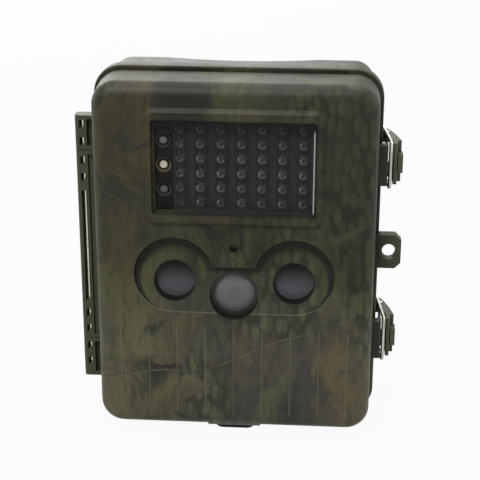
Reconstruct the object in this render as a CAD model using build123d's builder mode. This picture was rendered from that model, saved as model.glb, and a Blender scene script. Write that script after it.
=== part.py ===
"""Trail camera: a two-part case on a pinned hinge with two wire-bail latches.

Millimetres. X points to the viewer's right as the lens looks at them, Y points back, +Z up.
The origin is the mouth of the tripod socket, on the plane that the case stands on.
Heights in sketches are measured from the middle of the case, depths from its front face.
"""
import os
from math import cos, radians, sin, sqrt, tan

from build123d import *

# ---------------------------------------------------------------- case
COVER_W = 112.0          # front cover across, at its open edge
COVER_H = 146.5          # front cover tall, at its open edge
COVER_D = 20.0           # front cover deep, without its tongue
GROOVE_D = 2.0           # shadow gap between the cover's edge and the rim
REAR_D = 34.0            # rear shell deep, from the rim's face
WALL = 2.4
CORNER_R = 10.0          # corners of the case, seen from the front
COVER_EDGE_R = 5.5       # rounding of the cover's front edge
REAR_EDGE_R = 4.0
COVER_DRAFT = 1.5        # degrees
REAR_DRAFT = 3.0
REAR_STEP = 0.4          # rear body set in from the cover's outline
RIM_PROUD = 1.6          # rim stands outside the cover's outline
RIM_D = 6.0
RIM_EASE = 0.7
RIM_LAND = 5.4           # rim reaches this far inside the cover's outline
FOOT_PROUD = 2.75        # feet stand this far below the cover's lower edge
TRIPOD_BACK = 17.0       # tripod axis behind the rim's face
BODY_GAP = 0.3           # between the closed case halves
FIT = 0.1                # play round a piece seated in a pocket
SINK = 0.1               # a raised form starts this far inside the one that carries it
PAST = 1.0               # a cutter runs this far past the face it opens

STAND = COVER_H / 2 + FOOT_PROUD
RIM_DEPTH = COVER_D + GROOVE_D
FRONT_Y = -TRIPOD_BACK - RIM_DEPTH
BACK_DEPTH = RIM_DEPTH + REAR_D

# tongue of the cover and gasket in the rim
TONGUE_INSET = 1.6
TONGUE_T = 2.0
TONGUE_ROOT = 3.0        # tongue overlaps the cover's wall
GASKET_W = 2.4
GASKET_T = 1.8

# ---------------------------------------------------------------- front of the cover
BEZEL_SIDE = 3.25        # bezel beyond the window, each side
BEZEL_END = 4.55         # bezel beyond the window, above and below
BEZEL_PROUD = 1.6
BEZEL_SLOPE = 45.0
BEZEL_R = 4.5
WINDOW_W = 64.3
WINDOW_H = 38.4
WINDOW_R = 1.6
WINDOW_DOWN = 33.25      # middle of the window below the cover's upper edge
GLASS_T = 2.0
GLASS_SUNK = 0.5         # glass below the bezel's top
GLASS_LEDGE = 1.2
RECESS_LOBE_X = 24.0     # twin-lobed sensor recess
RECESS_LOBE_R = 16.0
RECESS_DOWN = 44.95      # lobes' middles below the window's
RECESS_NECK = 3.8        # upper edge of the neck above the lobes' middles
RECESS_DEEP = 5.5        # at the top of the lobes, nothing at the bottom
RECESS_EASE = 2.0        # rounding where neck and lobes meet
LENS_IN = 0.1            # lens nearer the middle than its lobe
LENS_DROP = 3.2          # lens below the middle of its lobe
LENS_HOLE_R = 8.15
LENS_SET = 5.6           # lens window behind the front face
LENS_T = 1.4
LENS_LIP = 1.35
TUBE_WALL = 2.0
SENSOR_DROP = 8.9        # motion sensor below the lobes' middles
SENSOR_HOLE_R = 9.65
SENSOR_SET = 4.0
SENSOR_RING_W = 1.5
SENSOR_RING_T = 2.6
SENSOR_DOME = 1.2
MIC_RISE = 12.1          # microphone above the lobes' middles
MIC_HOLE_R = 1.65
MIC_R = 3.0
MIC_T = 2.7
RIB_COUNT = 9
RIB_PITCH = 11.5
RIB_W = 0.9
RIB_PROUD = 0.35
RIB_TAPER = 35.0
RIB_UP = 6.75            # ribs start this far above the cover's lower edge
RIB_DOWN = 7.55          # and end this far below the recess
PAD_W = 21.6             # pad with the power port, under the cover
PAD_PROUD = 1.2
PAD_FRONT = 1.0
PAD_TALL = 9.0

# ---------------------------------------------------------------- electronics
LED_COLS = 7
LED_ROWS = 6
LED_PITCH_X = 8.08
LED_PITCH_Z = 6.0
LED_GAP = 0.36           # between the status light tubes and the first column
LED_DROP = 1.5           # middle of the field below the window's
LED_R = 2.5
LED_FLANGE_R = 2.85
LED_FLANGE_T = 1.0
LED_TALL = 7.0
LED_NOSE = 1.25          # tapered end of a lamp
LED_SIDES = 10
LED_TAPER = 40.0
BOARD_T = 1.6
LED_BOARD_SIDE = 5.85    # board beyond the window, each side
LED_BOARD_END = 3.8      # board beyond the window, above and below
MODULE_GAP = 1.6         # between the LED board and the display module
POST_R = 2.2
POST_EDGE = 3.0          # post centres in from the board's edges
STATUS_IN = 4.45         # status lights in from the window's left edge
STATUS_PITCH = 10.0
STATUS_R = 1.45
STATUS_WELL_R = 3.0
STATUS_PANEL_W = 8.7
STATUS_PANEL_SET = 3.0
STATUS_PANEL_GAP = 0.3   # front plate clear of the LED tops
STATUS_TUBE_T = 1.1
STATUS_WELL_D = 1.0
MAIN_STEP = 0.5          # main board behind the LED board's front
MAIN_SIDE = 8.0          # main board in from the cover's sides
MAIN_DOWN = 6.0          # main board below the LED board
MAIN_UP = 16.25          # main board above the cover's lower edge
BARREL_R = 5.5
BARREL_MOUTH_R = 3.3
BARREL_MOUTH_D = 1.2
BARREL_MOUTH_TAPER = 30.0
BARREL_CORNER = 1.0
BARREL_BASE = 14.0
BARREL_BASE_T = 2.0
BARREL_GAP = 1.0
PIR_CAN_R = 4.6
PIR_CAN_T = 4.2
PIR_FLANGE_R = 5.4
PIR_FLANGE_T = 0.6
PIR_PANE_W = 4.6
PIR_PANE_H = 3.7
CHIPS = (                # across, width, height, thickness
    (-16.0, 9.0, 12.0, 1.1),
    (4.0, 14.0, 14.0, 1.4),
    (24.0, 6.0, 6.0, 1.6),
)

# ---------------------------------------------------------------- inner panel
PANEL_T = 1.6
PANEL_PLAY = 0.4
SCREEN_DROP = 2.0        # display below the window's middle
SCREEN_W = 50.0
SCREEN_H = 36.0
MODULE_W = 62.0
MODULE_H = 46.0
MODULE_T = 3.4
SCREEN_T = 1.0
KEY_RISE = 53.25         # middle of the keys above the cover's lower edge
KEY_PITCH = 15.0
KEY_R = 4.2
KEY_PROUD = 0.9
KEY_TRAVEL = 0.8
KEY_SIDE_GAP = 0.35
KEY_FLANGE = 0.9
KEY_FLANGE_T = 0.8
SWITCH_W = 6.0
SWITCH_T = 1.8
SWITCH_R = 0.5
SLIDE_STEP = 23.0        # slider beside the right-hand keys
SLIDE_TRAVEL = 8.0
SLIDE_SIDE = 2.0         # switch body beyond the knob's path, each side
SLIDE_END = 1.5
KNOB_W = 4.0
KNOB_H = 5.0
KNOB_PROUD = 1.2
KNOB_FLANGE = 1.0
KNOB_GROOVES = 3
KNOB_GROOVE_W = 0.55
KNOB_GROOVE_D = 0.3
KNOB_GROOVE_PITCH = 1.4
CARD_W = 24.0
CARD_H = 32.0
CARD_T = 2.1
CARD_CLEAR = 0.8         # between the card's socket and the left-hand keys
CARD_RISE = 65.25        # upper end of the card above the cover's lower edge
CARD_LIFT = 0.5
CARD_RAIL = 1.6
CARD_NOTCH = 3.0
CARD_SHOWS = 6.0         # length of card that stands in the finger well
WELL_W = 28.0
WELL_H = 22.0
SCREW_HEAD_R = 2.6
SCREW_HEAD_T = 1.3
SCREW_R = 1.2
SCREW_IN = 6.0
SCREW_LEN = 6.0
SCREW_TAPER = 15.0

# ---------------------------------------------------------------- hinge
HINGE_OUT = 6.4          # pin's axis outside the cover's side
HINGE_R = 2.9
HINGE_EDGE_R = 1.3
HINGE_HALF = 57.4
HINGE_DROP = 2.7         # hinge's middle below the middle of the case
HINGE_MID_HALF = 41.3
HINGE_MID_DROP = 1.1     # middle knuckle and all windows below the middle of the case
HINGE_GAP = 0.3
HINGE_WEB = 1.0          # web that joins the middle knuckle to the cover
HINGE_RIB = 1.5          # rib across each end of a knuckle
HINGE_CHEEK = 1.9        # knuckle's inner side from the pin's axis
PIN_R = 1.0
PIN_FIT = 0.05
PIN_SHORT = 2.0
PIN_WINDOW_W = 2.3
PIN_WINDOW_H = 3.4
PIN_WINDOWS = (30.0, 37.1, 45.0, 52.2)
PIN_SLOT = 48.6

# ---------------------------------------------------------------- latches
LATCH_Z = 37.7           # latch middles above and below the middle of the case
LATCH_OUT = 4.0          # lever's pin outside the cover's side
LATCH_BACK = 14.0        # lever's pin behind the rim's face
LATCH_PIN_R = 0.9
LATCH_HUB_R = 1.7
BAIL_THROW = 3.4         # bail pivot from lever pivot
BAIL_ANGLE = 115.0
BAIL_R = 0.75
BAIL_BAR_OUT = 4.8       # bail's bar outside the cover's side
BAIL_BAR_SET = 3.0       # and in front of the cover's open edge
BAIL_SIDE = 0.95         # wire's middle outside the lever's cheek
BAIL_BEND_R = 1.1
BAIL_HOLE_FIT = 0.06
EAR_IN = 4.4
EAR_OUT = 6.6
EAR_BASE = 3.0
CHEEK_GAP = 0.3          # between ear and cheek
CHEEK_T = 1.6
LEAF_OUT = 6.0           # lever's leaf outside the cover's side
LEAF_T = 1.6
LEAF_R = 0.48
LEAF_SET = 1.4           # leaf starts in front of the cover's open edge
LEAF_SHORT = 6.0         # and ends in front of the lever's pin
LEAF_SINK = 0.2
GRIP_OUT = 9.2           # lever's lip outside the cover's side
GRIP_BACK = 0.8          # lip behind the rim's face
GRIP_GUSSET = 2.0
GRIP_TAB = 3.8
GRIP_TAB_D = 4.0
GRIP_TAB_T = 1.28
GRIP_TAB_PROUD = 0.6
GRIP_TAB_SINK = 1.0
POCKET_SET = 1.7         # pocket's floor inside the cover's side
POCKET_GAP = 0.3         # pocket starts behind the rim
POCKET_BEHIND = 5.8      # pocket ends behind the lever's pin
POCKET_PLAY = 0.5        # beside the bail
KEEPER_OUT = 3.75        # keeper's nose outside the cover's side
KEEPER_PLAY = 0.4        # between the keeper and the bail's arms
KEEPER_AHEAD = 1.6       # keeper in front of the bail's bar
KEEPER_BEHIND = 2.4      # and behind it
KEEPER_ROOT = 0.8        # keeper set into the cover's side
KEEPER_GROOVE = 0.6
KEEPER_LIP_R = 0.5

# ---------------------------------------------------------------- padlock lug
LUG_OUT = 10.7           # lug outside the cover's side
LUG_HALF = 7.2
LUG_CHAMFER = 2.4
LUG_EYE_OUT = 5.7        # middle of its eye
LUG_EYE_W = 5.4
LUG_EYE_H = 6.6
LUG_PLY = 2.1
LUG_ROOT = 1.2           # ply reaches into the side wall

# ---------------------------------------------------------------- rear shell
SADDLE_R = 90.0
SADDLE_DEEP = 9.0
STRAP_H = 27.0
STRAP_T = 6.0
STRAP_R = 1.0
STRAP_SET = 5.0          # middle of the strap slot in front of the back
STRAP_WALL = 2.2
STRAP_IN = 14.0           # strap channel starts this far from the middle
FOOT_IN = 18.0           # feet in from the cover's sides
FOOT_W = 5.0
FOOT_BACK = 6.0          # feet stop short of the back
SOCKET_BOSS_R = 7.5
SOCKET_CAP = 1.2
INSERT_ACROSS = 10.0     # hexagonal insert, across its flats
INSERT_LEN = 11.8
INSERT_BORE_R = 3.3
CELL_R = 7.15
CELL_LEN = 49.2
CELL_NUB_R = 2.7
CELL_NUB = 1.3
CELL_GAP = 1.3           # between the cells of a row
CELL_SHOWS = 0.3         # cells stand out of the tray
CELL_COLS = 4
CELL_ROWS = 2
TRAY_FLOOR = 1.8
TRAY_WALL = 2.0
TRAY_TAB = 8.0
TRAY_TAB_T = 2.0
TRAY_TAB_IN = 9.5        # tabs in from the tray's ends
TRAY_POST_R = 3.0
CONTACT_T = 0.5
CONTACT_W = 9.0
SPRING_ROOM = 5.0        # spring between a cell's foot and its plate
SPRING_REACH = 4.0
SPRING_W = 5.0
SPRING_T = 0.6
TRAY_SCREW_LEN = 7.0
PORT_W = 15.6
PORT_D = 11.0
PORT_FRONT = 6.0
PORT_PROUD = 1.7
PORT_R = 3.0
PORT_BUNG_W = 11.0
PORT_BUNG_D = 7.0
PORT_BUNG_H = 3.0
JACK_W = 9.0
JACK_D = 6.6
JACK_H = 13.0
JACK_BORE_R = 2.75
JACK_BORE_D = 9.75
JACK_PIN_R = 1.05

os.makedirs("parts", exist_ok=True)


# ================================================================ shared forms
def facing_front(depth):
    """Sketch plane at a depth behind the front face, X right, up is up, normal to the front."""
    return Plane(origin=(0, FRONT_Y + depth, STAND), x_dir=(1, 0, 0), z_dir=(0, -1, 0))


def facing_back(depth):
    """The same, seen from behind: local X runs to the left."""
    return Plane(origin=(0, FRONT_Y + depth, STAND), x_dir=(-1, 0, 0), z_dir=(0, 1, 0))


def level(height):
    """Horizontal plane at a height from the middle of the case; local Y is the depth."""
    return Plane(origin=(0, FRONT_Y, STAND + height), x_dir=(1, 0, 0), z_dir=(0, 0, 1))


def case_outline(inset):
    """The cover's outline, drawn in by an inset."""
    return RectangleRounded(COVER_W - 2 * inset, COVER_H - 2 * inset, CORNER_R - inset)


def drafted_block(plane, inset, depth, draft, edge_r):
    """Block on the case's outline that narrows by its draft and ends in a rounded edge."""
    with BuildPart() as block:
        with BuildSketch(plane):
            case_outline(inset)
        extrude(amount=depth, taper=draft)
        end = block.faces().sort_by(Axis(plane.origin, plane.z_dir))[-1]
        fillet(end.edges(), edge_r)
    return block.part


def outline_ring(depth, length, outer_inset, inner_inset):
    """Ring between two insets of the case's outline, running back from a depth."""
    with BuildPart() as ring:
        with BuildSketch(facing_front(depth)):
            case_outline(outer_inset)
            with BuildSketch(mode=Mode.PRIVATE) as hole:
                case_outline(inner_inset)
            add(hole.sketch, mode=Mode.SUBTRACT)
        extrude(amount=-length)
    return ring.part


def cylinder_back(depth, length, radius, x, z):
    """Round bar that runs back from a depth."""
    with BuildPart() as bar:
        with BuildSketch(facing_front(depth)):
            with Locations((x, z)):
                Circle(radius)
        extrude(amount=-length)
    return bar.part


def block_back(depth, length, width, height, x=0.0, z=0.0, corner=0.0):
    """Rectangular bar, its corners rounded if asked, that runs back from a depth."""
    with BuildPart() as bar:
        with BuildSketch(facing_front(depth)):
            with Locations((x, z)):
                if corner > 0:
                    RectangleRounded(width, height, corner)
                else:
                    Rectangle(width, height)
        extrude(amount=-length)
    return bar.part


def upright_cylinder(x, depth, low, high, radius):
    """Round bar between two heights."""
    with BuildPart() as bar:
        with BuildSketch(level(low)):
            with Locations((x, depth)):
                Circle(radius)
        extrude(amount=high - low)
    return bar.part


def upright_block(x, depth, low, high, width, length, corner=0.0):
    """Rectangular bar between two heights, its upright edges rounded if asked."""
    with BuildPart() as bar:
        with BuildSketch(level(low)):
            with Locations((x, depth)):
                if corner > 0:
                    RectangleRounded(width, length, corner)
                else:
                    Rectangle(width, length)
        extrude(amount=high - low)
    return bar.part


def upright_hexagon(x, depth, low, high, across):
    """Six-sided bar between two heights, sized across its flats."""
    with BuildPart() as bar:
        with BuildSketch(level(low)):
            with Locations((x, depth)):
                RegularPolygon(across / 2, 6, major_radius=False)
        extrude(amount=high - low)
    return bar.part


def save(name, builder):
    """Label a finished piece and write it."""
    builder.part.label = name
    export_step(builder.part, f"parts/{name}.step")


# ================================================================ derived sizes
side_x = COVER_W / 2
panel_set = COVER_D + FIT
panel_back = panel_set + PANEL_T
panel_inset = TONGUE_INSET + TONGUE_T + PANEL_PLAY
tongue_back = RIM_DEPTH - BODY_GAP
gasket_inset = TONGUE_INSET + (TONGUE_T - GASKET_W) / 2
led_board_set = panel_set - MODULE_T - MODULE_GAP - BOARD_T
main_set = led_board_set + MAIN_STEP
main_back = main_set + BOARD_T

window_z = COVER_H / 2 - WINDOW_DOWN
bezel_w = WINDOW_W + 2 * BEZEL_SIDE
bezel_h = WINDOW_H + 2 * BEZEL_END
led_board_w = WINDOW_W + 2 * LED_BOARD_SIDE
led_board_h = WINDOW_H + 2 * LED_BOARD_END
lobe_z = window_z - RECESS_DOWN
neck_top = lobe_z + RECESS_NECK
recess_low = lobe_z - RECESS_LOBE_R
lens_x = RECESS_LOBE_X - LENS_IN
lens_z = lobe_z - LENS_DROP
sensor_z = lobe_z - SENSOR_DROP
mic_z = lobe_z + MIC_RISE
rib_low = RIB_UP - COVER_H / 2
rib_high = recess_low - RIB_DOWN

status_x = STATUS_IN - WINDOW_W / 2
status_tube_r = STATUS_R + FIT + STATUS_TUBE_T
led_field_w = (LED_COLS - 1) * LED_PITCH_X
led_x = status_x + status_tube_r + LED_GAP + LED_FLANGE_R + led_field_w / 2
led_z = window_z - LED_DROP
main_w = COVER_W - 2 * MAIN_SIDE
main_top = window_z - led_board_h / 2 - MAIN_DOWN
main_low = MAIN_UP - COVER_H / 2
chip_z = (main_low + sensor_z - PIR_FLANGE_R) / 2

screen_z = window_z - SCREEN_DROP
key_z = KEY_RISE - COVER_H / 2
slide_x = KEY_PITCH + SLIDE_STEP
card_x = -(KEY_PITCH + KEY_R + KEY_FLANGE + CARD_CLEAR + CARD_RAIL + CARD_W / 2)
card_top = CARD_RISE - COVER_H / 2

floor_tilt = Plane(
    origin=(0, FRONT_Y, STAND + recess_low), x_dir=(1, 0, 0), z_dir=(0, -2 * RECESS_LOBE_R, RECESS_DEEP)
)
pad_low = -(COVER_H / 2 - COVER_D * tan(radians(COVER_DRAFT)) / 2) - PAD_PROUD
port_depth = PORT_FRONT + PORT_D / 2

hinge_x = -side_x - HINGE_OUT
arm_mid_x = (hinge_x + WALL - side_x) / 2
arm_w = WALL - hinge_x - side_x
knuckle_front = RIM_DEPTH - HINGE_R
hollow_x = hinge_x + HINGE_CHEEK
swing_clear = hinge_x + sqrt((HINGE_OUT - BODY_GAP) ** 2 - HINGE_R**2)
hinge_top = HINGE_HALF - HINGE_DROP
hinge_low = -HINGE_HALF - HINGE_DROP
mid_top = HINGE_MID_HALF - HINGE_MID_DROP
mid_low = -HINGE_MID_HALF - HINGE_MID_DROP

pivot_x = side_x + LATCH_OUT
pivot_depth = RIM_DEPTH + LATCH_BACK
bail_x = pivot_x + BAIL_THROW * cos(radians(BAIL_ANGLE))
bail_depth = pivot_depth + BAIL_THROW * sin(radians(BAIL_ANGLE))
bar_x = side_x + BAIL_BAR_OUT
bar_depth = COVER_D - BAIL_BAR_SET
cheek_in = EAR_OUT + CHEEK_GAP
cheek_out = cheek_in + CHEEK_T
bail_half = cheek_out + BAIL_SIDE
pocket_half = bail_half + BAIL_R + POCKET_PLAY
pocket_front = RIM_DEPTH + RIM_D + POCKET_GAP
pocket_back = pivot_depth + POCKET_BEHIND
keeper_half = bail_half - BAIL_R - KEEPER_PLAY
keeper_x = side_x + KEEPER_OUT
leaf_x = side_x + LEAF_OUT
leaf_front = COVER_D - LEAF_SET
leaf_back = pivot_depth - LEAF_SHORT
grip_x = side_x + GRIP_OUT
grip_depth = RIM_DEPTH + GRIP_BACK
latch_spots = (LATCH_Z, -LATCH_Z)

saddle_depth = BACK_DEPTH - SADDLE_DEEP + SADDLE_R
strap_depth = BACK_DEPTH - STRAP_SET
strap_mid = (STRAP_IN + COVER_W) / 2
strap_len = COVER_W - STRAP_IN
tripod_depth = RIM_DEPTH + TRIPOD_BACK

cell_pitch = 2 * CELL_R + CELL_GAP
cell_span = CELL_LEN + CELL_NUB + 2 * CONTACT_T + SPRING_ROOM
tray_w = CELL_COLS * cell_pitch + 2 * TRAY_WALL
tray_h = CELL_ROWS * cell_span + (CELL_ROWS + 1) * TRAY_WALL
tray_deep = TRAY_FLOOR + 2 * CELL_R - CELL_SHOWS
tray_back = BACK_DEPTH - SADDLE_DEEP - WALL - FIT
tab_x = tray_w / 2 + TRAY_TAB / 2
tab_z = tray_h / 2 - TRAY_TAB_IN
tab_spots = [(sx * tab_x, sz * tab_z) for sx in (-1, 1) for sz in (-1, 1)]

panel_screw_spots = [
    (side * (side_x - panel_inset - SCREW_IN), z * (COVER_H / 2 - panel_inset - SCREW_IN))
    for side in (-1, 1)
    for z in (-1, 1)
]


# ================================================================ front cover
def recess_prism(extra, low_depth, floor):
    """Prism on the twin-lobed outline, grown by extra, cut off behind a tilted floor plane."""
    with BuildPart() as prism:
        with BuildSketch(facing_front(low_depth)) as outline:
            with Locations((-RECESS_LOBE_X, lobe_z), (RECESS_LOBE_X, lobe_z)):
                Circle(RECESS_LOBE_R)
            with Locations((0, (neck_top + recess_low) / 2)):
                Rectangle(2 * RECESS_LOBE_X, neck_top - recess_low)
            cusps = outline.vertices().filter_by(lambda v: abs(v.Z - STAND - neck_top) < SINK)
            fillet(cusps, RECESS_EASE)
            if extra > 0:
                offset(amount=extra)
        extrude(amount=low_depth + BEZEL_PROUD)
        split(bisect_by=floor, keep=Keep.TOP)
    return prism.part


def hinge_knuckle(low, high, rib_end, web_front, web_back):
    """Knuckle with a rounded front, the web that carries it and a rib in front of the web at each end."""
    rib_w = rib_end - hollow_x
    with BuildPart() as knuckle:
        with BuildSketch(level(low)):
            with Locations((hinge_x, RIM_DEPTH)):
                RectangleRounded(2 * HINGE_R, 2 * HINGE_R, HINGE_EDGE_R)
        extrude(amount=high - low)
        add(upright_block(hollow_x + HINGE_R / 2, knuckle_front + (web_front - knuckle_front - PAST) / 2,
                          low - PAST, high + PAST, HINGE_R, web_front - knuckle_front + PAST),
            mode=Mode.SUBTRACT)
        add(upright_block(arm_mid_x, (web_front + web_back) / 2, low, high, arm_w, web_back - web_front))
        for rib in (low, high - HINGE_RIB):
            add(upright_block(hollow_x - SINK + (rib_w + SINK) / 2, (knuckle_front + web_front + SINK) / 2, rib,
                              rib + HINGE_RIB, rib_w + SINK, web_front + SINK - knuckle_front))
    return knuckle.part


def pin_windows(spots, slot=0.0):
    """Windows through the knuckles' front wall into the pin bore."""
    with BuildPart() as cuts:
        with BuildSketch(facing_front(RIM_DEPTH)):
            with Locations(*[(hinge_x, z - HINGE_MID_DROP) for z in spots]):
                Rectangle(PIN_WINDOW_W, PIN_WINDOW_H)
            if slot > 0:
                with Locations((hinge_x, -HINGE_MID_DROP)):
                    Rectangle(PIN_WINDOW_W, slot)
        extrude(amount=HINGE_R + PAST)
    return cuts.part


def keeper_block(z, lip_r):
    """Block that the bail hooks over, seated in the cover's side."""
    root = side_x - KEEPER_ROOT
    with BuildPart() as block:
        with BuildSketch(level(z - keeper_half)) as outline:
            with Locations(((root + keeper_x) / 2, bar_depth + (KEEPER_BEHIND - KEEPER_AHEAD) / 2)):
                Rectangle(keeper_x - root, KEEPER_AHEAD + KEEPER_BEHIND)
            if lip_r > 0:
                fillet(outline.vertices().group_by(Axis.X)[-1], lip_r)
        extrude(amount=2 * keeper_half)
    return block.part


def lug_ply(depth):
    """One ply of the padlock lug, forward of a depth, from inside the side wall to its chamfered end."""
    root = side_x - LUG_ROOT
    with BuildPart() as lug:
        with BuildSketch(facing_front(depth)) as ply:
            with Locations(((side_x + LUG_OUT + root) / 2, 0)):
                Rectangle(side_x + LUG_OUT - root, 2 * LUG_HALF)
            chamfer(ply.vertices().group_by(Axis.X)[-1], LUG_CHAMFER)
            with Locations((side_x + LUG_EYE_OUT, 0)):
                SlotOverall(LUG_EYE_H, LUG_EYE_W, rotation=90, mode=Mode.SUBTRACT)
        extrude(amount=LUG_PLY)
    return lug.part


mid_windows = [side * z for side in (-1, 1) for z in PIN_WINDOWS if z < HINGE_MID_HALF]
end_windows = [side * z for side in (-1, 1) for z in PIN_WINDOWS if z > HINGE_MID_HALF]

cover_outer = drafted_block(facing_front(COVER_D), 0, COVER_D, COVER_DRAFT, COVER_EDGE_R)
cover_hollow = drafted_block(
    facing_front(COVER_D), WALL, COVER_D - WALL, COVER_DRAFT, COVER_EDGE_R - WALL
)
wall_floor = floor_tilt.offset(-WALL)

with BuildPart() as port_pad:
    with BuildSketch(level(pad_low)):
        with Locations((0, (PAD_FRONT + COVER_D) / 2)):
            Rectangle(PAD_W, COVER_D - PAD_FRONT)
    extrude(amount=PAD_TALL)
    fillet(port_pad.edges().filter_by(Axis.X).group_by(Axis.Z)[0].sort_by(Axis.Y)[0], COVER_EDGE_R)

with BuildPart() as front_cover:
    add(cover_outer)
    add(cover_hollow, mode=Mode.SUBTRACT)
    # raised bezel round the window
    with BuildSketch(facing_front(0)):
        with Locations((0, window_z)):
            RectangleRounded(bezel_w, bezel_h, BEZEL_R)
    extrude(amount=BEZEL_PROUD, taper=BEZEL_SLOPE)
    # tongue that closes on the gasket
    add(outline_ring(COVER_D - TONGUE_ROOT, tongue_back - COVER_D + TONGUE_ROOT,
                     TONGUE_INSET, TONGUE_INSET + TONGUE_T))
    # pocket walls behind the tilted recess, tubes behind its holes
    add(recess_prism(TUBE_WALL, RECESS_DEEP + WALL, wall_floor).intersect(cover_outer))
    tube_back = LENS_SET + LENS_T + LENS_LIP
    for x in (-lens_x, lens_x):
        add(cylinder_back(WALL / 2, tube_back - WALL / 2, LENS_HOLE_R + TUBE_WALL, x, lens_z))
    sensor_back = SENSOR_SET + SENSOR_RING_T + LENS_LIP
    add(cylinder_back(WALL / 2, sensor_back - WALL / 2, SENSOR_HOLE_R + TUBE_WALL, 0, sensor_z))
    add(recess_prism(0, RECESS_DEEP + WALL, floor_tilt), mode=Mode.SUBTRACT)
    for x in (-lens_x, lens_x):
        add(cylinder_back(-PAST, LENS_SET + LENS_T + PAST, LENS_HOLE_R, x, lens_z), mode=Mode.SUBTRACT)
        add(cylinder_back(-PAST, tube_back + 2 * PAST, LENS_HOLE_R - LENS_LIP, x, lens_z),
            mode=Mode.SUBTRACT)
    add(cylinder_back(-PAST, SENSOR_SET + SENSOR_RING_T + PAST, SENSOR_HOLE_R, 0, sensor_z),
        mode=Mode.SUBTRACT)
    add(cylinder_back(-PAST, sensor_back + 2 * PAST, SENSOR_HOLE_R - LENS_LIP, 0, sensor_z),
        mode=Mode.SUBTRACT)
    # window opening with a ledge for the glass
    with BuildSketch(facing_front(-BEZEL_PROUD - PAST)):
        with Locations((0, window_z)):
            RectangleRounded(WINDOW_W, WINDOW_H, WINDOW_R)
    extrude(amount=-(PAST + GLASS_SUNK + GLASS_T), mode=Mode.SUBTRACT)
    with BuildSketch(facing_front(-BEZEL_PROUD - PAST)):
        with Locations((0, window_z)):
            Rectangle(WINDOW_W - 2 * GLASS_LEDGE, WINDOW_H - 2 * GLASS_LEDGE)
    extrude(amount=-(PAST + BEZEL_PROUD + WALL + PAST), mode=Mode.SUBTRACT)
    # posts that carry the LED board and the main board
    for x in (-1, 1):
        for z in (-1, 1):
            add(cylinder_back(WALL / 2, led_board_set - WALL / 2, POST_R,
                              x * (led_board_w / 2 - POST_EDGE),
                              window_z + z * (led_board_h / 2 - POST_EDGE)))
        add(cylinder_back(WALL / 2, main_set - WALL / 2, POST_R,
                          x * (main_w / 2 - POST_EDGE), main_low + POST_EDGE))
        add(cylinder_back(WALL / 2, main_set - WALL / 2, POST_R,
                          x * (main_w / 2 - POST_EDGE), main_top - POST_EDGE))
    for x, z in panel_screw_spots:
        add(cylinder_back(WALL / 2, panel_set - WALL / 2, POST_R, x, z))
        add(cylinder_back(panel_set - SCREW_LEN, SCREW_LEN, SCREW_R, x, z), mode=Mode.SUBTRACT)
    # microphone hole and the ring that holds its capsule
    add(cylinder_back(WALL / 2, WALL / 2 + MIC_T, MIC_R + TUBE_WALL / 2, 0, mic_z))
    add(cylinder_back(WALL, MIC_T + PAST, MIC_R, 0, mic_z), mode=Mode.SUBTRACT)
    add(cylinder_back(-PAST, WALL + 2 * PAST, MIC_HOLE_R, 0, mic_z), mode=Mode.SUBTRACT)
    # low ribs down the lower front
    with BuildSketch(facing_front(SINK)):
        with Locations((0, (rib_low + rib_high) / 2)):
            with GridLocations(RIB_PITCH, 1, RIB_COUNT, 1):
                Rectangle(RIB_W, rib_high - rib_low)
    extrude(amount=RIB_PROUD + SINK, taper=RIB_TAPER)
    # pad under the case with the pocket of the port plug
    add(port_pad.part)
    add(upright_block(0, port_depth, pad_low - PAST, pad_low + PORT_BUNG_H + FIT,
                      PORT_BUNG_W + 2 * FIT, PORT_BUNG_D + 2 * FIT), mode=Mode.SUBTRACT)
    add(upright_block(0, port_depth, pad_low, pad_low + PAD_TALL + PAST,
                      JACK_W + 2 * FIT, JACK_D + 2 * FIT), mode=Mode.SUBTRACT)
    # middle knuckle of the hinge on its web
    add(hinge_knuckle(mid_low, mid_top, WALL - side_x, tongue_back - HINGE_WEB, tongue_back))
    add(upright_cylinder(hinge_x, RIM_DEPTH, mid_low - PAST, mid_top + PAST, PIN_R + PIN_FIT),
        mode=Mode.SUBTRACT)
    add(pin_windows(mid_windows, PIN_SLOT), mode=Mode.SUBTRACT)
    # front ply of the padlock lug
    add(lug_ply(tongue_back))
    # seats of the latch keepers in the cover's side
    for z in (-LATCH_Z, LATCH_Z):
        add(keeper_block(z, 0), mode=Mode.SUBTRACT)
save("front_cover", front_cover)

for name, z in (("upper_keeper", LATCH_Z), ("lower_keeper", -LATCH_Z)):
    with BuildPart() as keeper:
        add(keeper_block(z, KEEPER_LIP_R))
        add(upright_cylinder(bar_x, bar_depth, z - keeper_half - PAST, z + keeper_half + PAST,
                             bar_x - keeper_x + KEEPER_GROOVE), mode=Mode.SUBTRACT)
    save(name, keeper)

# ================================================================ window and what is behind it
glass_front = -BEZEL_PROUD + GLASS_SUNK
with BuildPart() as window_glass:
    with BuildSketch(facing_front(glass_front)):
        with Locations((0, window_z)):
            RectangleRounded(WINDOW_W - 2 * FIT, WINDOW_H - 2 * FIT, WINDOW_R)
    extrude(amount=-GLASS_T)
save("window_glass", window_glass)

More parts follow.
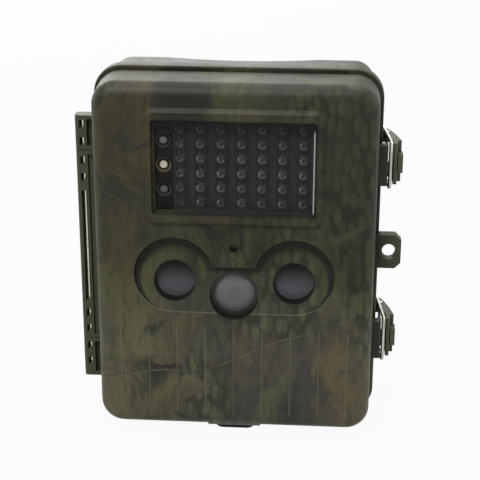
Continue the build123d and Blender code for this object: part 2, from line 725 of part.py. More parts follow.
status_spots = [(status_x, window_z + row * STATUS_PITCH) for row in (-1, 0, 1)]
with BuildPart() as indicator_panel:
    panel_h = WINDOW_H - 2 * GLASS_LEDGE - 2 * FIT
    panel_t = led_board_set - LED_TALL - STATUS_PANEL_GAP - STATUS_PANEL_SET
    add(block_back(STATUS_PANEL_SET, panel_t, STATUS_PANEL_W, panel_h, status_x, window_z))
    add(block_back(STATUS_PANEL_SET, led_board_set - STATUS_PANEL_SET, 2 * status_tube_r, panel_h, status_x,
                   window_z))
    with BuildSketch(facing_front(STATUS_PANEL_SET)):
        with Locations(*status_spots):
            Circle(STATUS_WELL_R)
    extrude(amount=-STATUS_WELL_D, mode=Mode.SUBTRACT)
    with BuildSketch(facing_front(STATUS_PANEL_SET)):
        with Locations(*status_spots):
            Circle(STATUS_R + FIT)
    extrude(amount=-(led_board_set - STATUS_PANEL_SET), mode=Mode.SUBTRACT)
save("indicator_panel", indicator_panel)

with BuildPart() as status_lights:
    with BuildSketch(facing_front(led_board_set)):
        with Locations(*status_spots):
            Circle(STATUS_R)
    extrude(amount=led_board_set - STATUS_PANEL_SET - STATUS_WELL_D / 2)
save("status_lights", status_lights)

with BuildPart() as led_board:
    add(block_back(led_board_set, BOARD_T, led_board_w, led_board_h, 0, window_z))
save("led_board", led_board)

with BuildPart() as infrared_leds:
    with BuildSketch(facing_front(led_board_set)):
        with Locations((led_x, led_z)):
            with GridLocations(LED_PITCH_X, LED_PITCH_Z, LED_COLS, LED_ROWS):
                RegularPolygon(LED_FLANGE_R, LED_SIDES)
    extrude(amount=LED_FLANGE_T)
    with BuildSketch(facing_front(led_board_set - LED_FLANGE_T)):
        with Locations((led_x, led_z)):
            with GridLocations(LED_PITCH_X, LED_PITCH_Z, LED_COLS, LED_ROWS):
                RegularPolygon(LED_R, LED_SIDES)
    extrude(amount=LED_TALL - LED_FLANGE_T - LED_NOSE)
    with BuildSketch(facing_front(led_board_set - LED_TALL + LED_NOSE)):
        with Locations((led_x, led_z)):
            with GridLocations(LED_PITCH_X, LED_PITCH_Z, LED_COLS, LED_ROWS):
                RegularPolygon(LED_R, LED_SIDES)
    extrude(amount=LED_NOSE, taper=LED_TAPER)
save("infrared_leds", infrared_leds)

# ================================================================ lens windows, lenses, motion sensor
for name, x in (("left_lens_window", -lens_x), ("right_lens_window", lens_x)):
    with BuildPart() as lens_window:
        add(cylinder_back(LENS_SET, LENS_T, LENS_HOLE_R - FIT / 2, x, lens_z))
    save(name, lens_window)

barrel_front = LENS_SET + LENS_T + BARREL_GAP
for name, x in (("left_lens_barrel", -lens_x), ("right_lens_barrel", lens_x)):
    with BuildPart() as lens_barrel:
        add(block_back(main_set - BARREL_BASE_T, BARREL_BASE_T, BARREL_BASE, BARREL_BASE, x, lens_z,
                       BARREL_CORNER))
        add(cylinder_back(barrel_front, main_set - BARREL_BASE_T - barrel_front, BARREL_R, x, lens_z))
        with BuildSketch(facing_front(barrel_front)):
            with Locations((x, lens_z)):
                Circle(BARREL_MOUTH_R)
        extrude(amount=-BARREL_MOUTH_D, taper=BARREL_MOUTH_TAPER, mode=Mode.SUBTRACT)
    save(name, lens_barrel)

ring_in_r = SENSOR_HOLE_R - SENSOR_RING_W
with BuildPart() as sensor_ring:
    add(cylinder_back(SENSOR_SET, SENSOR_RING_T, SENSOR_HOLE_R - FIT / 2, 0, sensor_z))
    add(cylinder_back(SENSOR_SET - PAST, SENSOR_RING_T + 2 * PAST, ring_in_r, 0, sensor_z),
        mode=Mode.SUBTRACT)
save("sensor_ring", sensor_ring)

lens_r = ring_in_r - FIT / 2
with BuildPart() as sensor_lens:
    with BuildSketch(Plane(facing_front(0).origin + Vector(0, 0, sensor_z), x_dir=(1, 0, 0),
                           z_dir=(0, 0, 1))):
        with BuildLine():
            dome = ThreePointArc((0, SENSOR_SET - SENSOR_DOME / 2), (lens_r / 2, SENSOR_SET - SENSOR_DOME / 4),
                                 (lens_r, SENSOR_SET + SENSOR_DOME / 2))
            Polyline(dome @ 1, (lens_r, SENSOR_SET + SENSOR_RING_T), (0, SENSOR_SET + SENSOR_RING_T), dome @ 0)
        make_face()
    revolve(axis=Axis((0, 0, STAND + sensor_z), (0, 1, 0)))
save("sensor_lens", sensor_lens)

with BuildPart() as motion_sensor:
    add(cylinder_back(main_set - PIR_FLANGE_T, PIR_FLANGE_T, PIR_FLANGE_R, 0, sensor_z))
    add(cylinder_back(main_set - PIR_CAN_T, PIR_CAN_T, PIR_CAN_R, 0, sensor_z))
    add(block_back(main_set - PIR_CAN_T, PIR_FLANGE_T, PIR_PANE_W, PIR_PANE_H, 0, sensor_z),
        mode=Mode.SUBTRACT)
save("motion_sensor", motion_sensor)

with BuildPart() as microphone:
    add(cylinder_back(WALL, MIC_T, MIC_R - FIT / 2, 0, mic_z))
save("microphone", microphone)

# ================================================================ boards
main_mid = (main_top + main_low) / 2
with BuildPart() as main_board:
    add(block_back(main_set, BOARD_T, main_w, main_top - main_low, 0, main_mid))
save("main_board", main_board)

with BuildPart() as board_chips:
    for x, width, height, thickness in CHIPS:
        add(block_back(main_set - thickness, thickness, width, height, x, chip_z))
save("board_chips", board_chips)

jack_low = pad_low + PORT_BUNG_H + FIT
with BuildPart() as power_jack:
    add(upright_block(0, port_depth, jack_low, jack_low + JACK_H, JACK_W, JACK_D))
    with BuildSketch(level(jack_low)):
        with Locations((0, port_depth)):
            Circle(JACK_BORE_R)
            Circle(JACK_PIN_R, mode=Mode.SUBTRACT)
    extrude(amount=JACK_BORE_D, mode=Mode.SUBTRACT)
save("power_jack", power_jack)

with BuildPart() as port_plug:
    with BuildSketch(level(pad_low - PORT_PROUD)):
        with Locations((0, port_depth)):
            RectangleRounded(PORT_W, PORT_D, PORT_R)
    extrude(amount=PORT_PROUD - FIT)
    add(upright_block(0, port_depth, pad_low - FIT, pad_low + PORT_BUNG_H - FIT,
                      PORT_BUNG_W - 2 * FIT, PORT_BUNG_D - 2 * FIT))
save("port_plug", port_plug)

# ================================================================ inner panel, display, keys, card
key_spots = {
    "menu_key": (-KEY_PITCH, key_z + KEY_PITCH / 2),
    "up_key": (0, key_z + KEY_PITCH / 2),
    "ok_key": (KEY_PITCH, key_z + KEY_PITCH / 2),
    "left_key": (-KEY_PITCH, key_z - KEY_PITCH / 2),
    "down_key": (0, key_z - KEY_PITCH / 2),
    "right_key": (KEY_PITCH, key_z - KEY_PITCH / 2),
}
well_top = card_top - CARD_H + CARD_SHOWS
with BuildPart() as inner_panel:
    with BuildSketch(facing_front(panel_set)):
        case_outline(panel_inset)
        with Locations((0, screen_z)):
            Rectangle(SCREEN_W, SCREEN_H, mode=Mode.SUBTRACT)
        with Locations(*key_spots.values()):
            Circle(KEY_R + KEY_SIDE_GAP, mode=Mode.SUBTRACT)
        with Locations((slide_x, key_z)):
            Rectangle(KNOB_W + 2 * KEY_SIDE_GAP, KNOB_H + SLIDE_TRAVEL + 2 * KEY_SIDE_GAP,
                      mode=Mode.SUBTRACT)
        with Locations((card_x, well_top - WELL_H / 2)):
            Rectangle(WELL_W, WELL_H, mode=Mode.SUBTRACT)
        with Locations(*panel_screw_spots):
            Circle(SCREW_R + FIT, mode=Mode.SUBTRACT)
    extrude(amount=-PANEL_T)
save("inner_panel", inner_panel)

with BuildPart() as display_module:
    add(block_back(panel_set - MODULE_T, MODULE_T, MODULE_W, MODULE_H, 0, screen_z))
save("display_module", display_module)

with BuildPart() as display_window:
    add(block_back(panel_set, SCREEN_T, SCREEN_W - 2 * FIT, SCREEN_H - 2 * FIT, 0, screen_z))
save("display_window", display_window)

key_flange_back = panel_set - FIT
key_stem_front = main_back + SWITCH_T + KEY_TRAVEL + FIT
for name, (x, z) in key_spots.items():
    with BuildPart() as key:
        add(cylinder_back(key_stem_front, panel_back + KEY_PROUD - key_stem_front, KEY_R, x, z))
        chamfer(key.edges().sort_by(Axis.Y)[-1], KEY_PROUD / 2)
        add(cylinder_back(key_flange_back - KEY_FLANGE_T, KEY_FLANGE_T, KEY_R + KEY_FLANGE, x, z))
    save(name, key)

with BuildPart() as key_switches:
    with BuildSketch(facing_front(main_back)):
        with Locations(*key_spots.values()):
            RectangleRounded(SWITCH_W, SWITCH_W, SWITCH_R)
    extrude(amount=-SWITCH_T)
save("key_switches", key_switches)

slide_body_back = panel_set - KEY_FLANGE_T - 2 * FIT
with BuildPart() as slider_switch:
    add(block_back(main_back, slide_body_back - main_back - FIT, KNOB_W + 2 * SLIDE_SIDE,
                   KNOB_H + SLIDE_TRAVEL + 2 * SLIDE_END, slide_x, key_z))
save("slider_switch", slider_switch)

with BuildPart() as power_slider:
    knob_z = key_z - SLIDE_TRAVEL / 2
    add(block_back(slide_body_back, panel_back + KNOB_PROUD - slide_body_back, KNOB_W, KNOB_H,
                   slide_x, knob_z))
    add(block_back(slide_body_back, KEY_FLANGE_T, KNOB_W + 2 * KNOB_FLANGE, KNOB_H + 2 * KNOB_FLANGE, slide_x,
                   knob_z))
    with BuildSketch(facing_front(panel_back + KNOB_PROUD)):
        with Locations((slide_x, knob_z)):
            with GridLocations(KNOB_GROOVE_PITCH, KNOB_GROOVE_PITCH, 1, KNOB_GROOVES):
                Rectangle(KNOB_W + PAST, KNOB_GROOVE_W)
    extrude(amount=KNOB_GROOVE_D, mode=Mode.SUBTRACT)
save("power_slider", power_slider)

card_front = main_back + CARD_LIFT
card_mid = card_top - CARD_H / 2
with BuildPart() as memory_card:
    with BuildSketch(facing_front(card_front)) as outline:
        with Locations((card_x, card_mid)):
            Rectangle(CARD_W, CARD_H)
        chamfer(outline.vertices().group_by(Axis.Z)[-1].sort_by(Axis.X)[-1], CARD_NOTCH)
    extrude(amount=-CARD_T)
save("memory_card", memory_card)

socket_len = CARD_H - CARD_SHOWS + CARD_LIFT
with BuildPart() as card_socket:
    add(block_back(main_back, CARD_T + 2 * CARD_LIFT, CARD_W + 2 * CARD_RAIL, socket_len, card_x,
                   well_top + socket_len / 2 + CARD_LIFT))
    add(block_back(card_front - FIT, CARD_T + 2 * FIT, CARD_W + 2 * FIT, CARD_H + 2 * FIT, card_x,
                   card_mid), mode=Mode.SUBTRACT)
save("card_socket", card_socket)

with BuildPart() as panel_screws:
    for x, z in panel_screw_spots:
        add(cylinder_back(panel_set - SCREW_LEN + PAST, SCREW_LEN - PAST + PANEL_T, SCREW_R, x, z))
        with BuildSketch(facing_front(panel_back)):
            with Locations((x, z)):
                Circle(SCREW_HEAD_R)
        extrude(amount=-SCREW_HEAD_T, taper=SCREW_TAPER)
save("panel_screws", panel_screws)

# ================================================================ rear shell
rear_outer = drafted_block(facing_back(RIM_DEPTH), REAR_STEP, REAR_D, REAR_DRAFT, REAR_EDGE_R)
rear_hollow = drafted_block(
    facing_back(RIM_DEPTH), REAR_STEP + WALL, REAR_D - WALL, REAR_DRAFT, REAR_EDGE_R - WALL
)
with BuildPart() as rear_room:
    add(rear_hollow)
    add(upright_cylinder(0, saddle_depth, -COVER_H, COVER_H, SADDLE_R + WALL), mode=Mode.SUBTRACT)
    for side in (-1, 1):
        add(upright_block(side * (STRAP_IN + COVER_W) / 2, strap_depth + REAR_D / 2 - STRAP_WALL - STRAP_T / 2,
                          -STRAP_H / 2 - STRAP_WALL, STRAP_H / 2 + STRAP_WALL,
                          COVER_W - STRAP_IN, REAR_D), mode=Mode.SUBTRACT)

with BuildPart() as rim:
    add(outline_ring(RIM_DEPTH, RIM_D, -RIM_PROUD, RIM_LAND))
    outside = rim.faces().filter_by(Plane.YZ).sort_by(Axis.X)[-1]
    fillet(outside.edges().filter_by(Axis.Z), RIM_EASE)


def hub(x, depth, radius):
    """Full circle in a line block, for a hull outline."""
    return CenterArc((x, depth), radius, 0, 360)


def ear_plate(low):
    """Ear that carries the lever's pin, from the side wall out to the pin."""
    with BuildPart() as ear:
        with BuildSketch(level(low)):
            with BuildLine():
                hub(pivot_x, pivot_depth, LATCH_HUB_R)
                Line((side_x - WALL, pivot_depth - EAR_BASE), (side_x - WALL, pivot_depth + EAR_BASE))
            make_hull()
        extrude(amount=EAR_OUT - EAR_IN)
    return ear.part


with BuildPart() as strap_bores:
    for side in (-1, 1):
        add(upright_block(side * strap_mid, strap_depth, -STRAP_H / 2, STRAP_H / 2, strap_len, STRAP_T,
                          STRAP_R))

with BuildPart() as rear_shell:
    add(rear_outer)
    # trunk saddle, then the hollow that follows it
    add(upright_cylinder(0, saddle_depth, -COVER_H, COVER_H, SADDLE_R), mode=Mode.SUBTRACT)
    add(rear_room, mode=Mode.SUBTRACT)
    add(rim)
    # posts for the battery tray
    for x, z in tab_spots:
        add(cylinder_back(tray_back, BACK_DEPTH - WALL - tray_back, TRAY_POST_R, x, z))
        add(cylinder_back(tray_back - PAST, TRAY_SCREW_LEN, SCREW_R, x, z), mode=Mode.SUBTRACT)
    # strap channels through the back corners
    add(strap_bores, mode=Mode.SUBTRACT)
    # feet and tripod boss
    for side in (-1, 1):
        add(upright_block(side * (side_x - FOOT_IN), RIM_DEPTH + (REAR_D - FOOT_BACK) / 2, -STAND,
                          WALL - COVER_H / 2, FOOT_W, REAR_D - FOOT_BACK))
    add(upright_cylinder(0, tripod_depth, -STAND, INSERT_LEN + SOCKET_CAP - STAND, SOCKET_BOSS_R))
    add(upright_hexagon(0, tripod_depth, -STAND - PAST, INSERT_LEN - STAND, INSERT_ACROSS), mode=Mode.SUBTRACT)
    # latch pockets and ears
    for z in latch_spots:
        add(upright_block(COVER_W - POCKET_SET, (pocket_front + pocket_back) / 2, z - pocket_half,
                          z + pocket_half, COVER_W, pocket_back - pocket_front), mode=Mode.SUBTRACT)
        for low in (z + EAR_IN, z - EAR_OUT):
            add(ear_plate(low))
            add(upright_cylinder(pivot_x, pivot_depth, low - FIT, low + EAR_OUT - EAR_IN + FIT,
                                 LATCH_PIN_R), mode=Mode.SUBTRACT)
    # end knuckles of the hinge on their webs
    for low, high in ((hinge_low, mid_low - HINGE_GAP), (mid_top + HINGE_GAP, hinge_top)):
        add(hinge_knuckle(low, high, swing_clear, RIM_DEPTH, RIM_DEPTH + HINGE_R))
    add(upright_cylinder(hinge_x, RIM_DEPTH, hinge_low - PAST, hinge_top - PIN_SHORT, PIN_R),
        mode=Mode.SUBTRACT)
    add(pin_windows(end_windows), mode=Mode.SUBTRACT)
    # rear ply of the padlock lug
    add(lug_ply(RIM_DEPTH + LUG_PLY))
    # gasket channel in the rim
    add(outline_ring(RIM_DEPTH - PAST, GASKET_T + PAST, gasket_inset - FIT / 2,
                     gasket_inset + GASKET_W + FIT / 2), mode=Mode.SUBTRACT)
save("rear_shell", rear_shell)

# ================================================================ small pieces of the rear case
with BuildPart() as lid_gasket:
    add(outline_ring(RIM_DEPTH, GASKET_T, gasket_inset, gasket_inset + GASKET_W))
save("lid_gasket", lid_gasket)

with BuildPart() as tripod_insert:
    add(upright_hexagon(0, tripod_depth, -STAND, -STAND + INSERT_LEN, INSERT_ACROSS))
    add(upright_cylinder(0, tripod_depth, -STAND - PAST, -STAND + INSERT_LEN + PAST, INSERT_BORE_R),
        mode=Mode.SUBTRACT)
save("tripod_insert", tripod_insert)

with BuildPart() as hinge_pin:
    add(upright_cylinder(hinge_x, RIM_DEPTH, hinge_low, hinge_top - PIN_SHORT, PIN_R))
save("hinge_pin", hinge_pin)

with BuildPart() as latch_pins:
    for z in latch_spots:
        add(upright_cylinder(pivot_x, pivot_depth, z - cheek_out, z + cheek_out, LATCH_PIN_R))
save("latch_pins", latch_pins)

cell_depth = tray_back - TRAY_FLOOR - FIT - CELL_R
bay_columns = [(col - (CELL_COLS - 1) / 2) * cell_pitch for col in range(CELL_COLS)]
bay_rows = [(row - (CELL_ROWS - 1) / 2) * (cell_span + TRAY_WALL) for row in range(CELL_ROWS)]
with BuildPart() as battery_tray:
    add(block_back(tray_back - tray_deep, tray_deep, tray_w, tray_h))
    for x in bay_columns:
        for z in bay_rows:
            with BuildSketch(level(z - cell_span / 2)):
                with Locations((x, cell_depth)):
                    Circle(CELL_R + FIT)
                with Locations((x, cell_depth - tray_deep / 2)):
                    Rectangle(2 * (CELL_R + FIT), tray_deep)
            extrude(amount=cell_span, mode=Mode.SUBTRACT)
    for x, z in tab_spots:
        add(block_back(tray_back - TRAY_TAB_T, TRAY_TAB_T, TRAY_TAB, TRAY_TAB, x, z))
        add(cylinder_back(tray_back - TRAY_TAB_T - PAST, TRAY_TAB_T + 2 * PAST, SCREW_R + FIT, x, z),
            mode=Mode.SUBTRACT)
save("battery_tray", battery_tray)

cell_bays = [
    (x, z, 1 if (col + row) % 2 else -1)
    for col, x in enumerate(bay_columns)
    for row, z in enumerate(bay_rows)
]
with BuildPart() as battery_cells:
    for x, z, way in cell_bays:
        tip = z + way * (cell_span / 2 - CONTACT_T)
        shoulder = tip - way * CELL_NUB
        foot = shoulder - way * CELL_LEN
        add(upright_cylinder(x, cell_depth, min(shoulder, foot), max(shoulder, foot), CELL_R))
        add(upright_cylinder(x, cell_depth, min(tip, shoulder), max(tip, shoulder), CELL_NUB_R))
save("battery_cells", battery_cells)

with BuildPart() as battery_contacts:
    for x, z, way in cell_bays:
        for end in (-1, 1):
            outer = z + end * cell_span / 2
            inner = outer - end * CONTACT_T
            add(upright_block(x, cell_depth - CELL_R + CONTACT_W / 2, min(outer, inner), max(outer, inner),
                              CONTACT_W, CONTACT_W))
        plate = z - way * (cell_span / 2 - CONTACT_T)
        with BuildSketch(Plane(origin=(x, FRONT_Y + cell_depth, STAND + plate), x_dir=(0, 1, 0),
                               z_dir=(1, 0, 0))):
            with BuildLine():
                Polyline((-SPRING_REACH, 0), (0, way * SPRING_ROOM), (SPRING_REACH, 0),
                         (SPRING_REACH - 2 * CONTACT_T, 0), (0, way * (SPRING_ROOM - SPRING_T)),
                         (2 * CONTACT_T - SPRING_REACH, 0), close=True)
            make_face()
        extrude(amount=SPRING_W / 2, both=True)
save("battery_contacts", battery_contacts)

with BuildPart() as tray_screws:
    for x, z in tab_spots:
        tab_front = tray_back - TRAY_TAB_T
        add(cylinder_back(tab_front, TRAY_SCREW_LEN - PAST, SCREW_R, x, z))
        with BuildSketch(facing_front(tab_front)):
            with Locations((x, z)):
                Circle(SCREW_HEAD_R)
        extrude(amount=SCREW_HEAD_T, taper=SCREW_TAPER)
save("tray_screws", tray_screws)

# ================================================================ latches
for name, z in (("upper_lever", LATCH_Z), ("lower_lever", -LATCH_Z)):
    with BuildPart() as lever:
        for low in (z + cheek_in, z - cheek_out):
            with BuildSketch(level(low)):
                with BuildLine():
                    hub(pivot_x, pivot_depth, LATCH_HUB_R)
                    hub(bail_x, bail_depth, LATCH_HUB_R)
                make_hull()
                with BuildLine():
                    Polyline((pivot_x - LATCH_HUB_R, pivot_depth), (pivot_x + LATCH_HUB_R, pivot_depth),
                             (leaf_x + LEAF_T, leaf_back), (grip_x - LEAF_T, grip_depth + GRIP_GUSSET),
                             (leaf_x, grip_depth), close=True)
                make_face()
            extrude(amount=cheek_out - cheek_in)
        # leaf beside the bail's bar
        add(upright_block(leaf_x + LEAF_T / 2, (leaf_front + leaf_back) / 2, z - cheek_out, z + cheek_out,
                          LEAF_T, leaf_back - leaf_front, LEAF_R))
        # slanted grip with a finger tab
        with BuildSketch(level(z - cheek_out)):
            with BuildLine():
                Polyline((leaf_x + LEAF_SINK, leaf_back), (leaf_x + LEAF_T, leaf_back), (grip_x, grip_depth),
                         (grip_x - LEAF_T, grip_depth), close=True)
            make_face()
        extrude(amount=2 * cheek_out)
        with BuildSketch(level(z - GRIP_TAB)):
            with BuildLine():
                Polyline((grip_x - LEAF_T, grip_depth + GRIP_TAB_SINK),
                         (grip_x - GRIP_TAB_T, grip_depth - GRIP_TAB_D),
                         (grip_x + GRIP_TAB_PROUD, grip_depth - GRIP_TAB_D),
                         (grip_x + GRIP_TAB_PROUD, grip_depth + GRIP_TAB_SINK), close=True)
            make_face()
        extrude(amount=2 * GRIP_TAB)
        add(upright_cylinder(pivot_x, pivot_depth, z - cheek_out - PAST, z + cheek_out + PAST,
                             LATCH_PIN_R + PIN_FIT), mode=Mode.SUBTRACT)
        add(upright_cylinder(bail_x, bail_depth, z - cheek_out - PAST, z + cheek_out + PAST,
                             BAIL_R + BAIL_HOLE_FIT), mode=Mode.SUBTRACT)
    save(name, lever)

for name, z in (("upper_bail", LATCH_Z), ("lower_bail", -LATCH_Z)):
    top = STAND + z + bail_half
    low = STAND + z - bail_half
    pivot_y = FRONT_Y + bail_depth
    bar_y = FRONT_Y + bar_depth
    with BuildPart() as bail:
        with BuildLine() as wire:
            FilletPolyline(
                (bail_x, pivot_y, STAND + z + cheek_in + FIT), (bail_x, pivot_y, top), (bar_x, bar_y, top),
                (bar_x, bar_y, low), (bail_x, pivot_y, low), (bail_x, pivot_y, STAND + z - cheek_in - FIT),
                radius=BAIL_BEND_R,
            )
        with BuildSketch(Plane(origin=wire.line @ 0, z_dir=wire.line % 0)):
            Circle(BAIL_R)
        sweep()
    save(name, bail)
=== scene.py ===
"""Trail camera, dressed: printed bark shells, smoked lamp window, wire-bail latches, inner panel and cells.

Metres, in the part's own frame: X to the viewer's right, Y from front to back, Z up.
The origin is the mouth of the tripod socket on the standing plane. Shapes are worked out in mm.
"""
import math
from functools import partialmethod

import bpy
import numpy as np
from mathutils import Matrix, Vector


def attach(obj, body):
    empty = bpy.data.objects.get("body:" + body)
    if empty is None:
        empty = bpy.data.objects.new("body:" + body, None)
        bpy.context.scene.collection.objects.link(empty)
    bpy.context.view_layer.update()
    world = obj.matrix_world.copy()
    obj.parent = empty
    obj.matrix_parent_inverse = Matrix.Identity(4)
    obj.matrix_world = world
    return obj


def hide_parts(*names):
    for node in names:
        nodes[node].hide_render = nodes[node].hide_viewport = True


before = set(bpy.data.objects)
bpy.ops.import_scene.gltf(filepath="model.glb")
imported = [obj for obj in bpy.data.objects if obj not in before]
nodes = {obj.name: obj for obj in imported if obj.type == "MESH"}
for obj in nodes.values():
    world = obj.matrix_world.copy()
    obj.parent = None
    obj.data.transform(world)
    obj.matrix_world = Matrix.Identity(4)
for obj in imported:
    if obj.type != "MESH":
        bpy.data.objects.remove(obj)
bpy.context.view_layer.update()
MM = 0.001
TURN = 2 * np.pi
FRONT = (0.0, -1.0, 0.0)
BACK = (0.0, 1.0, 0.0)
UP = (0.0, 0.0, 1.0)

# places on the case in mm: X from its centre plane, Z from its middle, depth behind its front face
STAND = 76.0                                    # middle of the case above the standing plane
FRONT_Y = -39.0                                 # front face of the cover, as a Y
WALL_X, WALL_Z = 53.8, 71.2                     # inside of the outer walls
SIDE_X = 57.9                                   # past it lie only the hinge, latch ears and lug
RIB_TOP, LINE_Z = -26.0, -39.4                  # upper ends of the cover's ribs, and its witness line
RECESS_X, RECESS_Z, RECESS_R = 24.0, -4.95, 16.0    # lobes of the sensor recess
NECK_X = 20.0                                   # half width of the neck between them
LENS_X, LENS_Z = 23.9, -8.15                    # round lens windows
SENSOR_Z = -13.85                               # sensor lens
LAMP_X, LAMP_Z, LAMP_DEPTH = 2.4, 38.5, 13.5    # middle of the lamp grid
COLUMN, ROW = 8.08, 6.0                         # its pitches
LIGHT_X, LIGHT_Z = -27.7, 40.0                  # middle one of the status lights
CARD_X, CARD_Z = -34.5, -24.0                   # memory card
KEY_X, KEY_TOP, KEY_LOW, KEY_FACE = 15.0, -12.5, -27.5, 22.55    # columns, rows and face depth of the keys
LATCH_Z = 37.7                                  # latches, above and below
PIVOT, HOOK = (58.563, 39.081), (60.8, 17.0)    # eyes and bar of a wire bail: X and depth
CELL_DEPTH, CELL_Z, CELL_PITCH = 35.45, 28.75, 15.6    # middles of the cells
CELL_LONG, BAY_HALF, TAB_T = 50.5, 28.0, 0.5    # cell with its nub, half of a bay, gap for a contact tab
FILM_DEPTH = 0.6                                # share of the depth by which the print runs round a side
FILM_BACK = 0.31                                # shift along the film of the print on the back, in metres


# ------------------------------------------------------------------ wiring of node trees
def tone(red, green, blue):
    """A display colour from 0 to 255 as linear light."""
    parts = np.array([red, green, blue]) / 255.0
    line = np.where(parts <= 0.04045, parts / 12.92, ((parts + 0.055) / 1.055) ** 2.4)
    return (*line.tolist(), 1.0)


class Wiring:
    """Nodes of one tree. Each method adds a node or a few, and returns the last one's output socket."""

    def __init__(self, tree):
        self.tree = tree

    def node(self, kind, **settings):
        made = self.tree.nodes.new("ShaderNode" + kind)
        for key, value in settings.items():
            setattr(made, key, value)
        return made

    def feed(self, socket, value):
        """Wire a socket from another one, or set its own value."""
        if isinstance(value, bpy.types.NodeSocket):
            self.tree.links.new(value, socket)
        elif value is not None:
            socket.default_value = value

    def fill(self, made, *values, **named):
        """Feed a node's sockets, in order and by name; returns its outputs."""
        for socket, value in zip(made.inputs, values):
            self.feed(socket, value)
        for name, value in named.items():
            self.feed(made.inputs[name], value)
        return made.outputs

    def maths(self, operation, *values, clamp=False):
        return self.fill(self.node("Math", operation=operation, use_clamp=clamp), *values)[0]

    plus = partialmethod(maths, "ADD")
    minus = partialmethod(maths, "SUBTRACT")
    over = partialmethod(maths, "DIVIDE")
    most = partialmethod(maths, "MAXIMUM")
    size = partialmethod(maths, "ABSOLUTE")

    def times(self, first, *others):
        """Product, taken in the order given."""
        for value in others:
            first = self.maths("MULTIPLY", first, value)
        return first

    def vector(self, operation, *values, **named):
        outputs = self.fill(self.node("VectorMath", operation=operation), *values, **named)
        return outputs["Value" if operation in ("DOT_PRODUCT", "LENGTH") else "Vector"]

    moved = partialmethod(vector, "ADD")
    stretched = partialmethod(vector, "MULTIPLY")

    def scaled(self, vector, scale):
        return self.vector("SCALE", vector, Scale=scale)

    def parts(self, vector):
        return self.fill(self.node("SeparateXYZ"), vector)[:]

    def point(self, x, y, z):
        return self.fill(self.node("CombineXYZ"), x, y, z)[0]

    def step(self, value, low, high):
        """Smooth step: 0 below low, 1 above high; falls instead where low is above high."""
        made = self.node("MapRange", interpolation_type="SMOOTHSTEP")
        ends = float(low > high), float(low <= high)
        return self.fill(made, value, min(low, high), max(low, high), *ends)[0]

    def rise(self, value, low, high):
        """Smooth step between two places in mm."""
        return self.step(value, low * MM, high * MM)

    def band(self, value, middle, outer, inner):
        """1 within inner mm of a middle place, fading to 0 at outer mm."""
        return self.rise(self.size(self.minus(value, middle * MM)), outer, inner)

    def below(self, value, place):
        return self.maths("LESS_THAN", value, place * MM)

    def above(self, value, place):
        return self.maths("GREATER_THAN", value, place * MM)

    def away(self, x, z, middle_x, middle_z):
        """Distance, seen from the front, to a place in mm."""
        gap = self.vector("SUBTRACT", self.point(x, 0.0, z), (middle_x * MM, 0.0, middle_z * MM))
        return self.vector("LENGTH", gap)

    def saw(self, value, middle, pitch):
        """Share of a pitch, from -0.5 to 0.5, by which a value is past the nearest middle; both in mm."""
        share = self.over(self.minus(value, (middle - 0.5 * pitch) * MM), pitch * MM)
        return self.minus(self.maths("FRACT", share), 0.5)

    def noise(self, vector, scale, detail=2.0, roughness=0.5, colour=False):
        made = self.node("TexNoise")
        self.fill(made, Vector=vector, Scale=scale, Detail=detail, Roughness=roughness)
        return made.outputs["Color" if colour else "Fac"]

    def cells(self, vector, scale, randomness=1.0):
        """Outputs of flat Voronoi cells."""
        made = self.node("TexVoronoi", voronoi_dimensions="2D")
        return self.fill(made, Vector=vector, Scale=scale, Randomness=randomness)

    def mix(self, share, first, second, kind="MIX"):
        made = self.node("Mix", data_type="RGBA", blend_type=kind)
        for slot, value in ((0, share), (6, first), (7, second)):
            self.feed(made.inputs[slot], value)
        return made.outputs[2]

    def group(self, name, **values):
        """Place a shared effect and set or wire its named inputs; returns its outputs."""
        return self.fill(self.node("Group", node_tree=bpy.data.node_groups[name]), **values)

    def shone(self, shader, **values):
        """Output of a shader node."""
        return self.fill(self.node(shader), **values)[0]

    def end(self, kind, shader):
        """Wire a shader to the tree's output."""
        self.feed(self.node("Output" + kind).inputs[0], shader)


def emptied(owner):
    """Node tree of a material or world, with nothing in it."""
    owner.use_nodes = True
    owner.node_tree.nodes.clear()
    return owner.node_tree


# ------------------------------------------------------------------ camera, light and floor
def placed(name, data, place, target, roll=0.0):
    """New object whose -Z axis points from its place at a target, turned by roll degrees."""
    made = bpy.data.objects.new(name, data)
    bpy.context.collection.objects.link(made)
    way = Vector(target) - Vector(place)
    turn = way.to_track_quat("-Z", "Y").to_matrix() @ Matrix.Rotation(math.radians(-roll), 3, "Z")
    made.matrix_world = Matrix.Translation(Vector(place)) @ turn.to_4x4()
    return made


lens = bpy.data.cameras.new("camera")
lens.sensor_width = 36.0
lens.lens = 99.945
lens.clip_start = 0.01
camera = placed("camera", lens, (0.03706, -0.52823, 0.27219), (0.002476, -0.039, 0.08674), -0.154)
bpy.context.scene.camera = camera
bpy.context.scene.view_settings.view_transform = "Standard"

for name, place, target_y, size, power in (
    ("key_box", (-0.22, -0.62, 0.95), -0.02, 0.3, 7.8),
    ("fill_box", (0.85, -0.7, 0.35), -0.02, 0.8, 1.2),
    ("top_box", (0.1, 0.25, 1.1), 0.0, 0.8, 6.5),
    ("back_box", (-0.3, 1.0, 0.3), 0.0, 0.7, 5.0),
    ("side_box", (-0.95, 0.14, 0.4), 0.0, 0.6, 2.4),
    ("side_box", (0.95, 0.14, 0.4), 0.0, 0.6, 2.4),
):
    light = bpy.data.lights.new(name, "AREA")
    light.size = size
    light.energy = power
    placed(name, light, place, (0, target_y, 0.08))


def seen_directly(net):
    """1 where a camera, glossy or transmission ray looks, else 0."""
    path = net.node("LightPath").outputs
    return net.most(net.most(path["Is Camera Ray"], path["Is Glossy Ray"]), path["Is Transmission Ray"])


